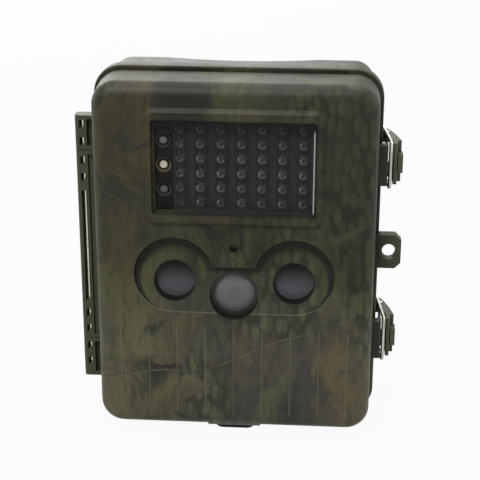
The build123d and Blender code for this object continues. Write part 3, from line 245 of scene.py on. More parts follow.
# dim room light, and plain white where it is seen directly
world = bpy.data.worlds.new("studio")
bpy.context.scene.world = world
sky = Wiring(emptied(world))
lit = [sky.shone("Background", Color=(1, 1, 1, 1), Strength=strength) for strength in (0.12, 1.0)]
sky.end("World", sky.fill(sky.node("MixShader"), seen_directly(sky), *lit)[0])

# matt floor that glows white where it is seen directly
floor_mesh = bpy.data.meshes.new("floor")
floor_mesh.from_pydata([(-6, -6, 0), (6, -6, 0), (6, 6, 0), (-6, 6, 0)], [], [(0, 1, 2, 3)])
floor = bpy.data.objects.new("floor", floor_mesh)
bpy.context.collection.objects.link(floor)
floor_paint = bpy.data.materials.new("studio floor")
floor_mesh.materials.append(floor_paint)
net = Wiring(emptied(floor_paint))
matt = net.shone("BsdfDiffuse", Color=(0.45, 0.45, 0.45, 1))
glow = net.shone("Emission", Strength=1.0)
net.end("Material", net.fill(net.node("MixShader"), net.times(seen_directly(net), 0.94), matt, glow)[0])

# ------------------------------------------------------------------ shared effects
SOCKETS = {"Vector": "NodeSocketVector", "Color": "NodeSocketColor"}


def effect(name, inputs, *outputs):
    """Start a shared node group; inputs are {name: default}, and a name outside SOCKETS is a value."""
    tree = bpy.data.node_groups.new(name, "ShaderNodeTree")
    for way, labels in (("INPUT", inputs), ("OUTPUT", outputs)):
        for label in labels:
            kind = SOCKETS.get(label, "NodeSocketFloat")
            socket = tree.interface.new_socket(label, in_out=way, socket_type=kind)
            if way == "INPUT" and inputs[label] is not None:
                socket.default_value = inputs[label]
    return Wiring(tree), tree.nodes.new("NodeGroupInput").outputs, tree.nodes.new("NodeGroupOutput").inputs


def make_scattered_leaf():
    """One lance-shaped leaf in each cell of a jittered grid.

    A leaf is |across| < width * (1 - along^2), turned about the slant by the cell's own share of the
    spread; its midrib is the line across = 0 and its side veins are bands of along - 1.8 |across|.
    """
    inputs = {"Vector": None, "Scale": 20.0, "Share": 0.5, "Slant": 0.0, "Spread": 3.0, "Soft": 0.06}
    net, given, result = effect("scattered leaf", inputs, "Mask", "Shade", "Kind")
    spots = net.cells(given["Vector"], given["Scale"], 0.8)
    here, middle = (net.scaled(place, given["Scale"]) for place in (given["Vector"], spots["Position"]))
    dx, dy, _ = net.parts(net.vector("SUBTRACT", here, middle))
    lean, chance, kind = net.parts(spots["Color"])
    turn = net.plus(given["Slant"], net.times(net.minus(lean, 0.5), given["Spread"]))
    cosine = net.maths("COSINE", turn)
    sine = net.maths("SINE", turn)
    along = net.times(net.plus(net.times(dx, cosine), net.times(dy, sine)), 1.8)
    across = net.minus(net.times(dy, cosine), net.times(dx, sine))
    bend = net.times(along, along, net.minus(kind, 0.5))
    across = net.plus(across, net.times(bend, 0.45))
    side = net.size(across)
    wide = net.plus(0.1, net.times(kind, 0.12))
    width = net.times(net.minus(1.0, net.times(along, along)), wide)
    inside = net.step(net.over(net.minus(width, side), given["Soft"]), 0.0, 1.0)
    chosen = net.maths("LESS_THAN", chance, given["Share"])
    rib = net.times(net.step(side, 0.022, 0.0), 0.25)
    veins = net.maths("SINE", net.times(net.minus(along, net.times(side, 1.8)), 24.0))
    half = net.times(net.step(across, -0.06, 0.06), 0.45)
    net.feed(result["Mask"], net.times(inside, chosen))
    net.feed(result["Shade"], net.plus(net.plus(net.times(veins, 0.08), half), rib))
    net.feed(result["Kind"], kind)


def make_twig():
    """A thin stem drawn on the flat: a band about a wavering line, lit on one side.

    across is the distance from the line through the start, at the angle, plus a slow noise;
    the mask is |across| < width and the shade is across / width.
    """
    inputs = {"Vector": None, "Angle": 1.0, "Offset": 0.0, "Width": 0.001, "Waver": 0.01}
    net, given, result = effect("twig", inputs, "Mask", "Shade")
    at = given["Vector"]
    x, y, _ = net.parts(at)
    sine = net.maths("SINE", given["Angle"])
    cosine = net.maths("COSINE", given["Angle"])
    across = net.minus(net.times(x, sine), net.times(y, cosine))
    drift = net.times(net.minus(net.noise(at, 12.0, 1.0), 0.5), given["Waver"])
    share = net.over(net.plus(net.minus(across, given["Offset"]), drift), given["Width"])
    fade = net.step(net.noise(at, 26.0, 1.0), 0.36, 0.5)
    net.feed(result["Mask"], net.times(net.step(net.size(share), 1.0, 0.4), fade))
    net.feed(result["Shade"], share)


# scale, share, slant, spread and start of a layer of leaves; degrees, offset, width and waver in mm of a twig
LEAF_LAYERS = (
    (19.0, 0.5, -0.9, 1.6, (0.31, 0.12, 0)),
    (30.0, 0.34, 0.8, 3.0, (0.77, 0.45, 0)),
    (25.0, 0.4, 1.4, 0.7, (0.15, 0.92, 0)),
)
TWIGS = ((18, -36, 0.8, 30), (152, 70, 0.6, 26), (128, -52, 1.6, 20))


def make_printed_bark():
    """Outdoor film print from noise and cells: charcoal and olive clouds, bark, lance leaves and twigs."""
    net, given, result = effect("printed bark", {"Vector": None}, "Color")
    at = given["Vector"]
    warp = net.vector("SUBTRACT", net.noise(at, 55.0, 3.0, colour=True), (0.5, 0.5, 0.5))
    loose = net.moved(at, net.scaled(warp, 0.016))
    tall = net.stretched(loose, (1.0, 0.5, 1.0))
    # clouds of charcoal, olive and brown, drawn out upright
    cloud = net.noise(tall, 24.0, 3.5, 0.6)
    ground = net.mix(net.step(cloud, 0.42, 0.6), tone(66, 63, 59), tone(98, 97, 71))
    brown = net.noise(net.moved(tall, (3.1, 0.7, 0)), 33.0, 3.0, 0.55)
    ground = net.mix(net.step(brown, 0.55, 0.66), ground, tone(95, 88, 66))
    dark = net.noise(net.moved(tall, (7.7, 2.2, 0)), 30.0, 4.0, 0.6)
    ground = net.mix(net.step(dark, 0.54, 0.65), ground, tone(38, 36, 33))
    # bark: upright oval plates with soft edges, in patches
    eased_at = net.moved(at, net.scaled(warp, 0.004))
    ovals = net.cells(net.stretched(eased_at, (1.0, 0.42, 1.0)), 310.0, 0.85)
    crack = net.step(ovals["Distance"], 0.62, 0.3)
    bark = net.mix(net.parts(ovals["Color"])[0], tone(64, 62, 52), tone(98, 99, 74))
    bark = net.mix(crack, tone(38, 36, 31), bark)
    patches = net.moved(net.stretched(at, (1.0, 0.4, 1.0)), (0.4, 5.2, 0))
    where = net.step(net.noise(patches, 19.0, 2.0), 0.5, 0.62)
    colour = net.mix(net.times(where, 0.8), ground, bark)
    # leaves, each over its own soft shadow
    for scale, share, slant, spread, start in LEAF_LAYERS:
        place = net.moved(loose, start)
        fallen = net.moved(place, (-0.001, 0.0016, 0))
        values = {"Scale": scale, "Share": share, "Slant": slant, "Spread": spread}
        shadow = net.group("scattered leaf", Vector=fallen, Soft=0.12, **values)
        colour = net.mix(net.times(shadow["Mask"], 0.6), colour, tone(32, 30, 27))
        leaf = net.group("scattered leaf", Vector=place, Soft=0.05, **values)
        green = net.mix(net.step(leaf["Kind"], 0.4, 0.6), tone(90, 92, 64), tone(100, 93, 69))
        shaded, bright = net.mix(0.35, green, tone(46, 45, 36)), net.mix(0.25, green, tone(118, 118, 92))
        colour = net.mix(net.times(leaf["Mask"], 0.85), colour, net.mix(leaf["Shade"], shaded, bright))
    for angle, *sizes in TWIGS:
        offset, width, waver = (size * MM for size in sizes)
        angle = math.radians(angle)
        twig = net.group("twig", Vector=at, Angle=angle, Offset=offset, Width=width, Waver=waver)
        wood = net.mix(net.step(twig["Shade"], -0.8, 0.8), tone(46, 44, 37), tone(106, 104, 82))
        colour = net.mix(net.times(twig["Mask"], 0.8), colour, wood)
    # upright drag of the film and its fine dots
    drag = net.step(net.noise(net.stretched(loose, (1.0, 0.1, 1.0)), 520.0, 3.0, 0.6), 0.45, 0.7)
    colour = net.mix(net.times(drag, 0.5), colour, tone(42, 41, 35))
    colour = net.mix(net.times(net.noise(at, 2400.0, 1.0), 0.12), colour, tone(104, 102, 86))
    # darker towards the top
    low = net.rise(net.parts(at)[1], STAND + 8.0, STAND - 42.0)
    darker = net.mix(1.0, colour, tone(184, 187, 172), "MULTIPLY")
    net.feed(result["Color"], net.mix(low, darker, colour))


def make_film_wrap():
    """Flat place of a point on the case, so that the print runs over the edges.

    On the front it is (X, Z). Round a side it goes on by a share of the depth along the wall's own
    normal, and the back has a stretch of the film to itself.
    """
    net, _, result = effect("film wrap", {}, "Vector")
    place = net.node("TexCoord").outputs
    x, y, z = net.parts(place["Object"])
    nx, ny, nz = net.parts(place["Normal"])
    depth = net.times(net.minus(y, FRONT_Y * MM), FILM_DEPTH)
    u = net.plus(x, net.times(depth, nx))
    v = net.plus(z, net.times(depth, nz))
    behind = net.maths("GREATER_THAN", ny, 0.72)
    net.feed(result["Vector"], net.point(net.plus(u, net.times(behind, FILM_BACK)), v, 0.0))


def make_fine_spark():
    """Fine matt of an eroded mould: fine grain as a height, and a roughness that follows a broad one."""
    inputs = {"Scale": 2400.0, "Roughness": 0.5, "Spread": 0.12}
    net, given, result = effect("fine spark", inputs, "Height", "Roughness")
    at = net.node("TexCoord").outputs["Object"]
    swing = net.times(net.minus(net.noise(at, 90.0, 3.0, 0.6), 0.5), given["Spread"])
    net.feed(result["Height"], net.noise(at, given["Scale"], 2.0, 0.6))
    net.feed(result["Roughness"], net.plus(given["Roughness"], swing, clamp=True))


make_scattered_leaf()
make_twig()
make_printed_bark()
make_film_wrap()
make_fine_spark()

# ------------------------------------------------------------------ finishes
SKIN = {"colour": "Base Color", "roughness": "Roughness", "metallic": "Metallic",
        "alpha": "Alpha", "specular": "Specular IOR Level", "normal": "Normal"}


class Finish(Wiring):
    """Wiring of a new material, with its object coordinates and normal at hand."""

    def __init__(self, name):
        self.material = bpy.data.materials.new(name)
        super().__init__(emptied(self.material))
        place = self.node("TexCoord").outputs
        self.at, self.facing = place["Object"], place["Normal"]

    def bump(self, height, strength, distance):
        """Normal from a height, distance in mm."""
        return self.fill(self.node("Bump"), Strength=strength, Distance=distance * MM, Height=height)[0]

    def spark(self, strength, **values):
        """Roughness and normal of fine spark grain."""
        grain = self.group("fine spark", **values)
        return {"roughness": grain["Roughness"], "normal": self.bump(grain["Height"], strength, 0.08)}

    def done(self, **sockets):
        """Set or wire the shader's sockets, and return the material."""
        sockets = {SKIN[key]: value for key, value in sockets.items()}
        self.end("Material", self.shone("BsdfPrincipled", **sockets))
        return self.material


def cover_marks(net, colour, x, y, z):
    """What only the cover has: painted highlight on the raised ribs and the recess's lower edge, a pale
    witness line, painted shadow in the recess's upper part, and near-black bores.

    The recess is two circles of RECESS_R at RECESS_X either side. Its upper wall is what lies outside
    circles of about 13.5 mm set 2.5 mm lower, and above the neck's floor line.
    """
    across = net.size(x)
    up = net.minus(z, STAND * MM)
    ribs = net.times(net.below(y, FRONT_Y - 0.06), net.below(up, RIB_TOP))
    line = net.times(net.band(up, LINE_Z, 0.35, 0.15), net.below(y, FRONT_Y + 0.1), 0.3)
    beside = net.above(across, RECESS_X)
    lobe = net.away(across, up, RECESS_X, RECESS_Z)
    curve = net.times(net.band(lobe, RECESS_R, 0.4, 0.15), beside)
    base = net.times(net.band(up, RECESS_Z - RECESS_R, 0.4, 0.15), net.minus(1.0, beside))
    edge = net.times(net.most(curve, base), net.rise(up, -9.0, -15.0))
    # painted highlight where the light catches the raised ribs and the recess's lower edge, with a pale
    # witness line
    highlights_and_witness_line = net.most(net.most(ribs, line), net.times(edge, net.below(y, FRONT_Y + 2.0)))
    colour = net.mix(net.times(highlights_and_witness_line, 0.4), colour, tone(128, 126, 108))
    # painted shadow: the recess's upper part, which its top edge shades, darkened nearly to black
    lobe_floor = net.rise(net.away(across, up, RECESS_X, RECESS_Z - 2.5), 14.1, 13.1)
    neck = net.times(net.rise(up, -3.2, -4.6), net.below(across, NECK_X))
    wall = net.minus(1.0, net.most(lobe_floor, neck))
    for value, low, high in ((y, FRONT_Y + 0.2, FRONT_Y + 9.0), (up, -21.0, 11.4), (across, -1.0, 40.4)):
        wall = net.times(wall, net.above(value, low), net.below(value, high))
    colour = net.mix(net.times(wall, 0.85), colour, tone(20, 20, 16))
    # bores painted near black: partly their own black moulding, partly painted shade down in the holes
    bores = 0.0
    for middle_x, middle_z, radius in ((LENS_X, LENS_Z, 8.5), (0.0, SENSOR_Z, 9.85)):
        bores = net.most(bores, net.below(net.away(across, up, middle_x, middle_z), radius))
    return net.mix(net.times(bores, net.below(y, FRONT_Y + 9.0)), colour, tone(24, 24, 21))


def printed_shell(name, middle_depth, first_depth, marks=None):
    """Case half: bark print outside, bare moulding inside, plain on hinge, latch ears and lug.

    A point is inside where its normal points towards the middle of the case, past the first depth,
    and short of the outer walls. marks draws on the film what only this half has.
    """
    net = Finish(name)
    x, y, z = net.parts(net.at)
    across = net.size(x)
    up = net.size(net.minus(z, STAND * MM))
    from_middle = net.vector("SUBTRACT", net.at, (0, (FRONT_Y + middle_depth) * MM, STAND * MM))
    inward = net.below(net.vector("DOT_PRODUCT", net.facing, from_middle), 0.0)
    hollow = net.times(inward, net.below(across, WALL_X), net.below(up, WALL_Z),
                       net.above(y, FRONT_Y + first_depth))
    plain = net.most(hollow, net.above(across, SIDE_X))
    colour = net.group("printed bark", Vector=net.group("film wrap")["Vector"])["Color"]
    if marks:
        colour = marks(net, colour, x, y, z)
    bare = net.mix(net.noise(net.at, 35.0, 2.0), tone(64, 64, 50), tone(80, 79, 63))
    return net.done(colour=net.mix(plain, colour, bare), specular=0.22, **net.spark(0.2, Spread=0.14))


def moulded(name, dark, light, roughness=0.55, spread=0.12, grain=0.2, specular=0.35, scale=2400.0):
    """Moulded plastic or rubber: slow shift between two tones, fine spark grain."""
    net = Finish(name)
    colour = net.mix(net.step(net.noise(net.at, 45.0, 4.0, 0.6), 0.3, 0.7), dark, light)
    return net.done(colour=colour, specular=specular,
                    **net.spark(grain, Scale=scale, Roughness=roughness, Spread=spread))


def metal(name, dark, light, roughness=0.28, spread=0.18, draw=(1.0, 1.0, 0.04)):
    """Drawn or plated metal: slow shift in tone, streaks in gloss and height along the way it was drawn."""
    net = Finish(name)
    streak = net.noise(net.stretched(net.at, draw), 1900.0, 3.0, 0.6)
    swing = net.times(net.minus(streak, 0.5), spread)
    return net.done(colour=net.mix(net.step(net.noise(net.at, 120.0, 2.0), 0.3, 0.7), dark, light),
                    roughness=net.plus(roughness, swing, clamp=True), metallic=1.0,
                    normal=net.bump(streak, 0.12, 0.04))


def clear_pane(name, dark, light, alpha, roughness, specular):
    """Tinted pane: lets a share of the light through, with faint wipe marks in tone and gloss."""
    net = Finish(name)
    wipe = net.noise(net.stretched(net.at, (1.0, 1.0, 0.3)), 60.0, 4.0, 0.65)
    gloss = net.plus(roughness, net.times(wipe, 0.05), clamp=True)
    return net.done(colour=net.mix(wipe, dark, light), roughness=gloss, alpha=alpha, specular=specular)


def circuit():
    """Main board: pads, and lines that run one way in some cells and the other way in the rest."""
    net = Finish("main board")
    x, _, z = net.parts(net.at)
    flat = net.point(x, z, 0.0)
    chance, share, _ = net.parts(net.cells(flat, 130.0)["Color"])
    upright, level = (net.step(net.size(net.saw(value, 0.4, 0.8)), 0.17, 0.12) for value in (x, z))
    way = net.maths("GREATER_THAN", chance, 0.5)
    line = net.plus(net.times(upright, way), net.times(level, net.minus(1.0, way)))
    line = net.times(line, net.maths("LESS_THAN", share, 0.75))
    spots = net.cells(flat, 300.0, 0.0)
    pad = net.step(spots["Distance"], 0.24, 0.2)
    pad = net.times(pad, net.maths("LESS_THAN", net.parts(spots["Color"])[2], 0.1))
    tint = net.mix(net.times(line, 0.8), tone(16, 52, 32), tone(34, 84, 54))
    return net.done(colour=net.mix(pad, tint, tone(170, 150, 96)), metallic=net.times(pad, 0.8),
                    normal=net.bump(net.most(line, pad), 0.4, 0.05), roughness=0.38)


def cell_jacket():
    """Film on the cells: a pale band round the blue, blurred by grain."""
    net = Finish("cell film")
    z = net.parts(net.at)[2]
    out = net.size(net.minus(net.size(net.minus(z, STAND * MM)), CELL_Z * MM))
    shade = net.noise(net.at, 240.0, 3.0)
    blue = tone(52, 66, 84)
    colour = net.mix(net.rise(out, 12.95, 13.05), blue, tone(205, 207, 208))
    colour = net.mix(net.rise(out, 14.15, 14.25), colour, blue)
    return net.done(colour=net.mix(net.times(shade, 0.22), colour, tone(30, 30, 30)),
                    roughness=net.plus(0.3, net.times(net.minus(shade, 0.5), 0.1)), specular=0.4)


def tinted_window():
    """Window over the lamps: smoky, with a painted shadow along its top and a painted highlight at its right
    edge, clear over the lights.
    """
    net = Finish("smoked window")
    x, _, z = net.parts(net.at)
    wipe = net.noise(net.stretched(net.at, (1.0, 1.0, 0.3)), 60.0, 4.0, 0.65)
    field = net.rise(x, -23.5, -23.2)
    # painted shadow: a dark band along the top, where the lip shades the lamps behind
    top = net.rise(z, STAND + 53.6, STAND + 54.2)
    # painted highlight: a pale line down the right edge, where the light catches it
    edge = net.times(net.band(x, 31.0, 0.35, 0.2), net.band(z, STAND + 39.0, 17.5, 15.5))
    haze = net.mix(wipe, tone(48, 48, 51), tone(64, 64, 68))
    haze = net.mix(top, haze, tone(16, 16, 18))
    haze = net.mix(field, tone(20, 20, 22), haze)
    share = net.plus(net.plus(0.05, net.times(field, 0.23)), net.times(top, 0.22))
    return net.done(colour=net.mix(edge, haze, tone(206, 208, 202)), specular=0.25,
                    alpha=net.most(share, net.times(edge, 0.6)),
                    roughness=net.plus(0.03, net.times(wipe, 0.05)))


def lens_pane():
    """Round lens window: dark at the top where the hood shades it, bluish grey below."""
    net = Finish("lens window")
    wipe = net.noise(net.at, 90.0, 3.0)
    z = net.plus(net.parts(net.at)[2], net.times(wipe, 1.5 * MM))
    colour = net.mix(net.rise(z, STAND - 0.5, STAND - 12.0), tone(20, 20, 22), tone(90, 92, 96))
    gloss = net.plus(0.12, net.times(wipe, 0.06))
    return net.done(colour=colour, roughness=gloss, alpha=0.9, specular=0.16)


def lamp_resin():
    """Smoky resin of the lamps, with a painted glint in each: a pale ring where the cup rim catches the
    light, open at the top right.
    """
    net = Finish("lamp resin")
    x, _, z = net.parts(net.at)
    dx = net.times(net.saw(x, LAMP_X, COLUMN), COLUMN * MM)
    dz = net.times(net.saw(z, STAND + LAMP_Z + 0.5 * ROW, ROW), ROW * MM)
    away = net.away(dx, dz, 0.0, 0.0)
    shut = net.rise(net.plus(net.times(dx, 0.6), dz), 0.9, 0.3)
    # painted glint: a pale ring round each lamp, open at the top right
    ring = net.times(net.rise(away, 0.7, 1.0), net.rise(away, 1.75, 1.4), shut)
    dark = net.mix(net.noise(net.at, 900.0, 2.0), tone(34, 34, 37), tone(46, 46, 50))
    return net.done(colour=net.mix(ring, dark, tone(208, 208, 212)), roughness=0.2, specular=0.3,
                    alpha=net.plus(0.55, net.times(ring, 0.35)))


def ringed_panel():
    """Black indicator panel with a pale ring round each of its three lights."""
    net = Finish("indicator panel")
    x, _, z = net.parts(net.at)
    colour = net.mix(net.noise(net.at, 45.0, 4.0, 0.6), tone(16, 16, 18), tone(26, 26, 28))
    for up, paint in ((-10.0, tone(84, 84, 84)), (0.0, tone(132, 120, 84)), (10.0, tone(92, 92, 92))):
        away = net.away(x, z, LIGHT_X, STAND + LIGHT_Z + up)
        colour = net.mix(net.band(away, 2.7, 0.4, 0.15), colour, paint)
    return net.done(colour=colour, specular=0.15, **net.spark(0.15, Roughness=0.55))


def light_pipe():
    """Three light pipes in one finish, told apart by their height: grey, cream when lit, dark."""
    net = Finish("light pipes")
    up = net.minus(net.parts(net.at)[2], (STAND + LIGHT_Z) * MM)
    colour = net.mix(net.rise(up, 4.8, 5.2), tone(88, 88, 84), tone(120, 120, 116))
    colour = net.mix(net.rise(net.size(up), 5.2, 4.8), colour, tone(232, 226, 200))
    cloudy = net.times(net.noise(net.at, 900.0, 2.0), 0.12)
    return net.done(colour=net.mix(cloudy, colour, tone(70, 70, 66)), roughness=0.3)


def milky_lens():
    """Sensor lens: fine rings pressed into milky sheet, darker over the sensor and at its rim."""
    net = Finish("milky lens")
    x, _, z = net.parts(net.at)
    r = net.away(x, z, 0.0, STAND + SENSOR_Z)
    colour = net.mix(net.times(net.rise(r, 4.6, 2.2), 0.5), tone(104, 104, 106), tone(88, 88, 90))
    colour = net.mix(net.times(net.rise(r, 6.4, 8.0), 0.25), colour, tone(66, 66, 64))
    colour = net.mix(net.times(net.noise(net.at, 300.0, 3.0), 0.12), colour, tone(70, 70, 72))
    ring = net.maths("SINE", net.times(r, TURN / (0.9 * MM)))
    return net.done(colour=colour, normal=net.bump(ring, 0.08, 0.03), roughness=0.36, specular=0.4)


def lamp_board():
    """Black lamp board with paler strips between the columns of lamps."""
    net = Finish("lamp board")
    x, _, z = net.parts(net.at)
    strip = net.step(net.size(net.saw(x, LAMP_X, COLUMN)), 0.3, 0.36)
    inside = net.band(z, STAND + LAMP_Z, 17.5, 16.5)
    colour = net.mix(net.times(strip, inside), tone(22, 22, 23), tone(86, 86, 86))
    speck = net.times(net.noise(net.at, 700.0, 2.0), 0.2)
    return net.done(colour=net.mix(speck, colour, tone(40, 40, 40)), roughness=0.6, specular=0.12)


def mesh_cap():
    """Perforated sheet over the microphone."""
    net = Finish("microphone mesh")
    x, _, z = net.parts(net.at)
    # painted shade: the holes are near-black dots for the dark behind them
    hole = net.step(net.cells(net.point(x, z, 0.0), 1700.0, 0.0)["Distance"], 0.34, 0.28)
    return net.done(colour=net.mix(hole, tone(60, 60, 60), tone(8, 8, 8)), roughness=0.45, metallic=0.4,
                    normal=net.bump(hole, -0.5, 0.1))


def card_body():
    """Memory card: dark body, a plain label panel, and a row of gold contacts at its inner end."""
    net = Finish("memory card")
    x, _, z = net.parts(net.at)
    across = net.size(net.minus(x, CARD_X * MM))
    up = net.minus(z, (STAND + CARD_Z) * MM)
    label = net.times(net.rise(across, 10.6, 10.5), net.band(up, -2.0, 11.0, 10.9))
    finger = net.step(net.size(net.saw(x, CARD_X + 1.25, 2.5)), 0.36, 0.32)
    gold = net.times(finger, net.rise(up, 11.5, 11.6), net.rise(across, 10.2, 10.0))
    colour = net.mix(label, tone(30, 34, 42), tone(108, 118, 128))
    colour = net.mix(gold, colour, tone(196, 160, 84))
    speck = net.times(net.noise(net.at, 600.0, 2.0), 0.15)
    return net.done(colour=net.mix(speck, colour, tone(50, 50, 54)), metallic=gold, roughness=0.42)


olive = moulded("olive moulding", tone(66, 66, 52), tone(82, 81, 65), 0.5)
keeper_black = moulded("keeper moulding", tone(38, 36, 31), tone(48, 46, 40), 0.5)
black = moulded("black moulding", tone(24, 24, 25), tone(34, 34, 35), 0.5, 0.12, 0.18)
charcoal = moulded("panel moulding", tone(46, 47, 48), tone(58, 59, 60), 0.6, 0.1, 0.35, 0.35, 1500.0)
rubber = moulded("soft rubber", tone(22, 22, 22), tone(34, 33, 32), 0.78, 0.1, 0.3, 0.25)
key_rubber = moulded("key rubber", tone(92, 94, 96), tone(108, 110, 112), 0.62, 0.1, 0.2, 0.3)
knob_grey = moulded("knob moulding", tone(150, 150, 146), tone(168, 168, 163), 0.5)
mark_ink = moulded("key marks", tone(226, 226, 220), tone(238, 238, 234))
ring_black = moulded("ring moulding", tone(34, 34, 30), tone(48, 48, 42), 0.42, 0.12, 0.15, 0.4)
chip_black = moulded("chip resin", tone(26, 26, 28), tone(40, 40, 42), 0.45, 0.1, 0.3, 0.4)
cell_steel = metal("cell ends", tone(176, 174, 168), tone(200, 198, 192), 0.3)
contact_nickel = metal("contact plating", tone(180, 176, 166), tone(204, 200, 190), 0.25)
brass = metal("insert brass", tone(176, 142, 82), tone(198, 164, 100), 0.3, 0.15, (0.06, 0.06, 1.0))
bail_steel = metal("bail wire", tone(170, 167, 158), tone(198, 195, 186), 0.25, 0.15, (1.0, 1.0, 0.03))
pin_steel = metal("pin plating", tone(206, 202, 190), tone(228, 224, 212), 0.34, 0.15, (1.0, 1.0, 0.03))
screw_zinc = metal("screw zinc", tone(150, 150, 148), tone(182, 182, 180), 0.32)
can_steel = metal("socket sheet", tone(168, 168, 166), tone(190, 190, 188), 0.32, 0.2, (1.0, 1.0, 0.05))
cup_silver = metal("lamp cup", tone(190, 190, 192), tone(215, 215, 218), 0.25)
coated_glass = clear_pane("coated glass", tone(16, 22, 40), tone(52, 30, 62), 0.92, 0.02, 0.8)
display_glass = clear_pane("display glass", tone(12, 15, 16), tone(20, 25, 26), 0.94, 0.05, 0.22)

for finish, names in (
    (olive, "upper_lever lower_lever"),
    (keeper_black, "upper_keeper lower_keeper"),
    (ringed_panel(), "indicator_panel"),
    (black, "left_lens_barrel right_lens_barrel battery_tray display_module"),
    (black, "key_switches slider_switch power_jack"),
    (charcoal, "inner_panel"),
    (rubber, "lid_gasket port_plug"),
    (key_rubber, "menu_key up_key ok_key left_key down_key right_key"),
    (knob_grey, "power_slider"),
    (ring_black, "sensor_ring"),
    (chip_black, "board_chips"),
    (brass, "tripod_insert"),
    (pin_steel, "hinge_pin latch_pins"),
    (can_steel, "card_socket motion_sensor"),
    (tinted_window(), "window_glass"),
    (lens_pane(), "left_lens_window right_lens_window"),
    (display_glass, "display_window"),
    (circuit(), "main_board"),
    (light_pipe(), "status_lights"),
    (milky_lens(), "sensor_lens"),
    (lamp_board(), "led_board"),
    (mesh_cap(), "microphone"),
    (card_body(), "memory_card"),
    (printed_shell("printed cover", 20.0, 6.0, cover_marks), "front_cover"),
    (printed_shell("printed rear case", 22.0, 21.9), "rear_shell"),
):
    for name in names.split():
        slots = nodes[name].material_slots
        for slot in slots:
            slot.material = finish
        if not slots:
            nodes[name].data.materials.append(finish)


# ------------------------------------------------------------------ surfaces
def spot(x, depth, z):
    """Place from the case's own sizes in mm: across, behind the front face, above the middle."""
    return np.array([x, FRONT_Y + depth, STAND + z])


class Shape:
    """Closed surfaces as points in mm and faces sorted by their number of corners."""

    def __init__(self, points, *faces):
        self.points = np.asarray(points, float).reshape(-1, 3)
        self.faces = [np.asarray(f, int) for f in faces if len(f)]

    def at(self, spots):
        """Copies of the shape, one moved by each spot."""
        spots = np.asarray(spots, float).reshape(-1, 3)
        points = (spots[:, None, :] + self.points[None]).reshape(-1, 3)
        start = np.arange(len(spots))[:, None, None] * len(self.points)
        return Shape(points, *[(start + f[None]).reshape(-1, f.shape[1]) for f in self.faces])

    def __add__(self, other):
        shift = len(self.points)
        return Shape(np.vstack([self.points, other.points]), *self.faces, *[f + shift for f in other.faces])

    def outward(self):
        """Turn every face over if the signed volume, a sixth of the sum of a . (b x c), is negative."""
        volume = 0.0
        for f in self.faces:
            for k in range(1, f.shape[1] - 1):
                a, b, c = (self.points[f[:, i]] for i in (0, k, k + 1))
                volume += np.einsum("ij,ij->i", a, np.cross(b, c)).sum()
        if volume < 0:
            self.faces = [f[:, ::-1] for f in self.faces]
        return self


def frame_about(axis):
    """Two unit vectors square to an axis and to each other, and the axis itself."""
    w = np.asarray(axis, float) / np.linalg.norm(axis)
    seed = np.array([1.0, 0.0, 0.0]) if abs(w[0]) < 0.9 else np.array([0.0, 0.0, 1.0])
    u = np.cross(w, seed)
    u /= np.linalg.norm(u)
    return u, np.cross(w, u), w


def skin(rings, low=None, high=None):
    """Closed surface through rings of equal count, each end closed by a fan on its tip or its middle."""
    rows, sides, _ = rings.shape
    index = np.arange(rows * sides).reshape(rows, sides)
    ahead = np.roll(index, -1, axis=1)
    quads = np.stack([index[:-1], ahead[:-1], ahead[1:], index[1:]], -1).reshape(-1, 4)
    low = rings[0].mean(0) if low is None else low
    high = rings[-1].mean(0) if high is None else high
    tip = np.full(sides, rows * sides)
    fans = np.vstack([np.stack([ahead[0], index[0], tip], -1), np.stack([index[-1], ahead[-1], tip + 1], -1)])
    return Shape(np.vstack([rings.reshape(-1, 3), low, high]), quads, fans).outward()


def ring_skin(rings):
    """Closed surface through rings that meet again at the first one, as on a tyre."""
    rows, sides, _ = rings.shape
    index = np.arange(rows * sides).reshape(rows, sides)
    ahead = np.roll(index, -1, axis=1)
    quads = np.stack([index, ahead, np.roll(ahead, -1, axis=0), np.roll(index, -1, axis=0)], -1)
    return Shape(rings, quads.reshape(-1, 4)).outward()


def turned(profile, sides, axis=FRONT, origin=(0, 0, 0)):
    """Turned form: a profile of (r, h) carried round the axis, at r from it and h along it."""
    r, h = np.asarray(profile, float).T
    u, v, w = frame_about(axis)
    angle = np.linspace(0, TURN, sides, endpoint=False)[None, :, None]
    rings = origin + r[:, None, None] * (np.cos(angle) * u + np.sin(angle) * v) + h[:, None, None] * w
    ends = rings[0].mean(0), rings[-1].mean(0)
    return skin(rings[(1 if r[0] == 0 else 0) : (-1 if r[-1] == 0 else None)], *ends)


def lathe_ring(profile, sides, axis=FRONT):
    """Turned ring: a closed profile of (r, h) carried round the axis, with a hole through it."""
    r, h = np.asarray(profile, float).T
    u, v, w = frame_about(axis)
    angle = np.linspace(0, TURN, sides, endpoint=False)[:, None, None]
    return ring_skin(r[:, None] * (np.cos(angle) * u + np.sin(angle) * v) + h[:, None] * w)


def dome(radius, low, rise, count):
    """Quarter of an ellipse in (r, h) pairs, from its rim at low to its top on the axis."""
    bow = np.linspace(0, np.pi / 2, count)[:-1]
    return [*zip(radius * np.cos(bow), low + rise * np.sin(bow)), (0.0, low + rise)]


def eased(corners, reach, steps=7):
    """Path through corners. Each inner one, P, is eased by (1-s)^2 A + 2s(1-s) P + s^2 B.

    A and B lie on the path at the reach before and after P.
    """
    p = np.asarray(corners, float)
    way = np.diff(p, axis=0)
    way /= np.linalg.norm(way, axis=1)[:, None]
    s = np.linspace(0, 1, steps)[None, :, None]
    a = (p[1:-1] - way[:-1] * reach)[:, None, :]
    b = (p[1:-1] + way[1:] * reach)[:, None, :]
    bends = (1 - s) ** 2 * a + 2 * s * (1 - s) * p[1:-1][:, None, :] + s**2 * b
    return np.vstack([p[:1], bends.reshape(-1, 3), p[-1:]])


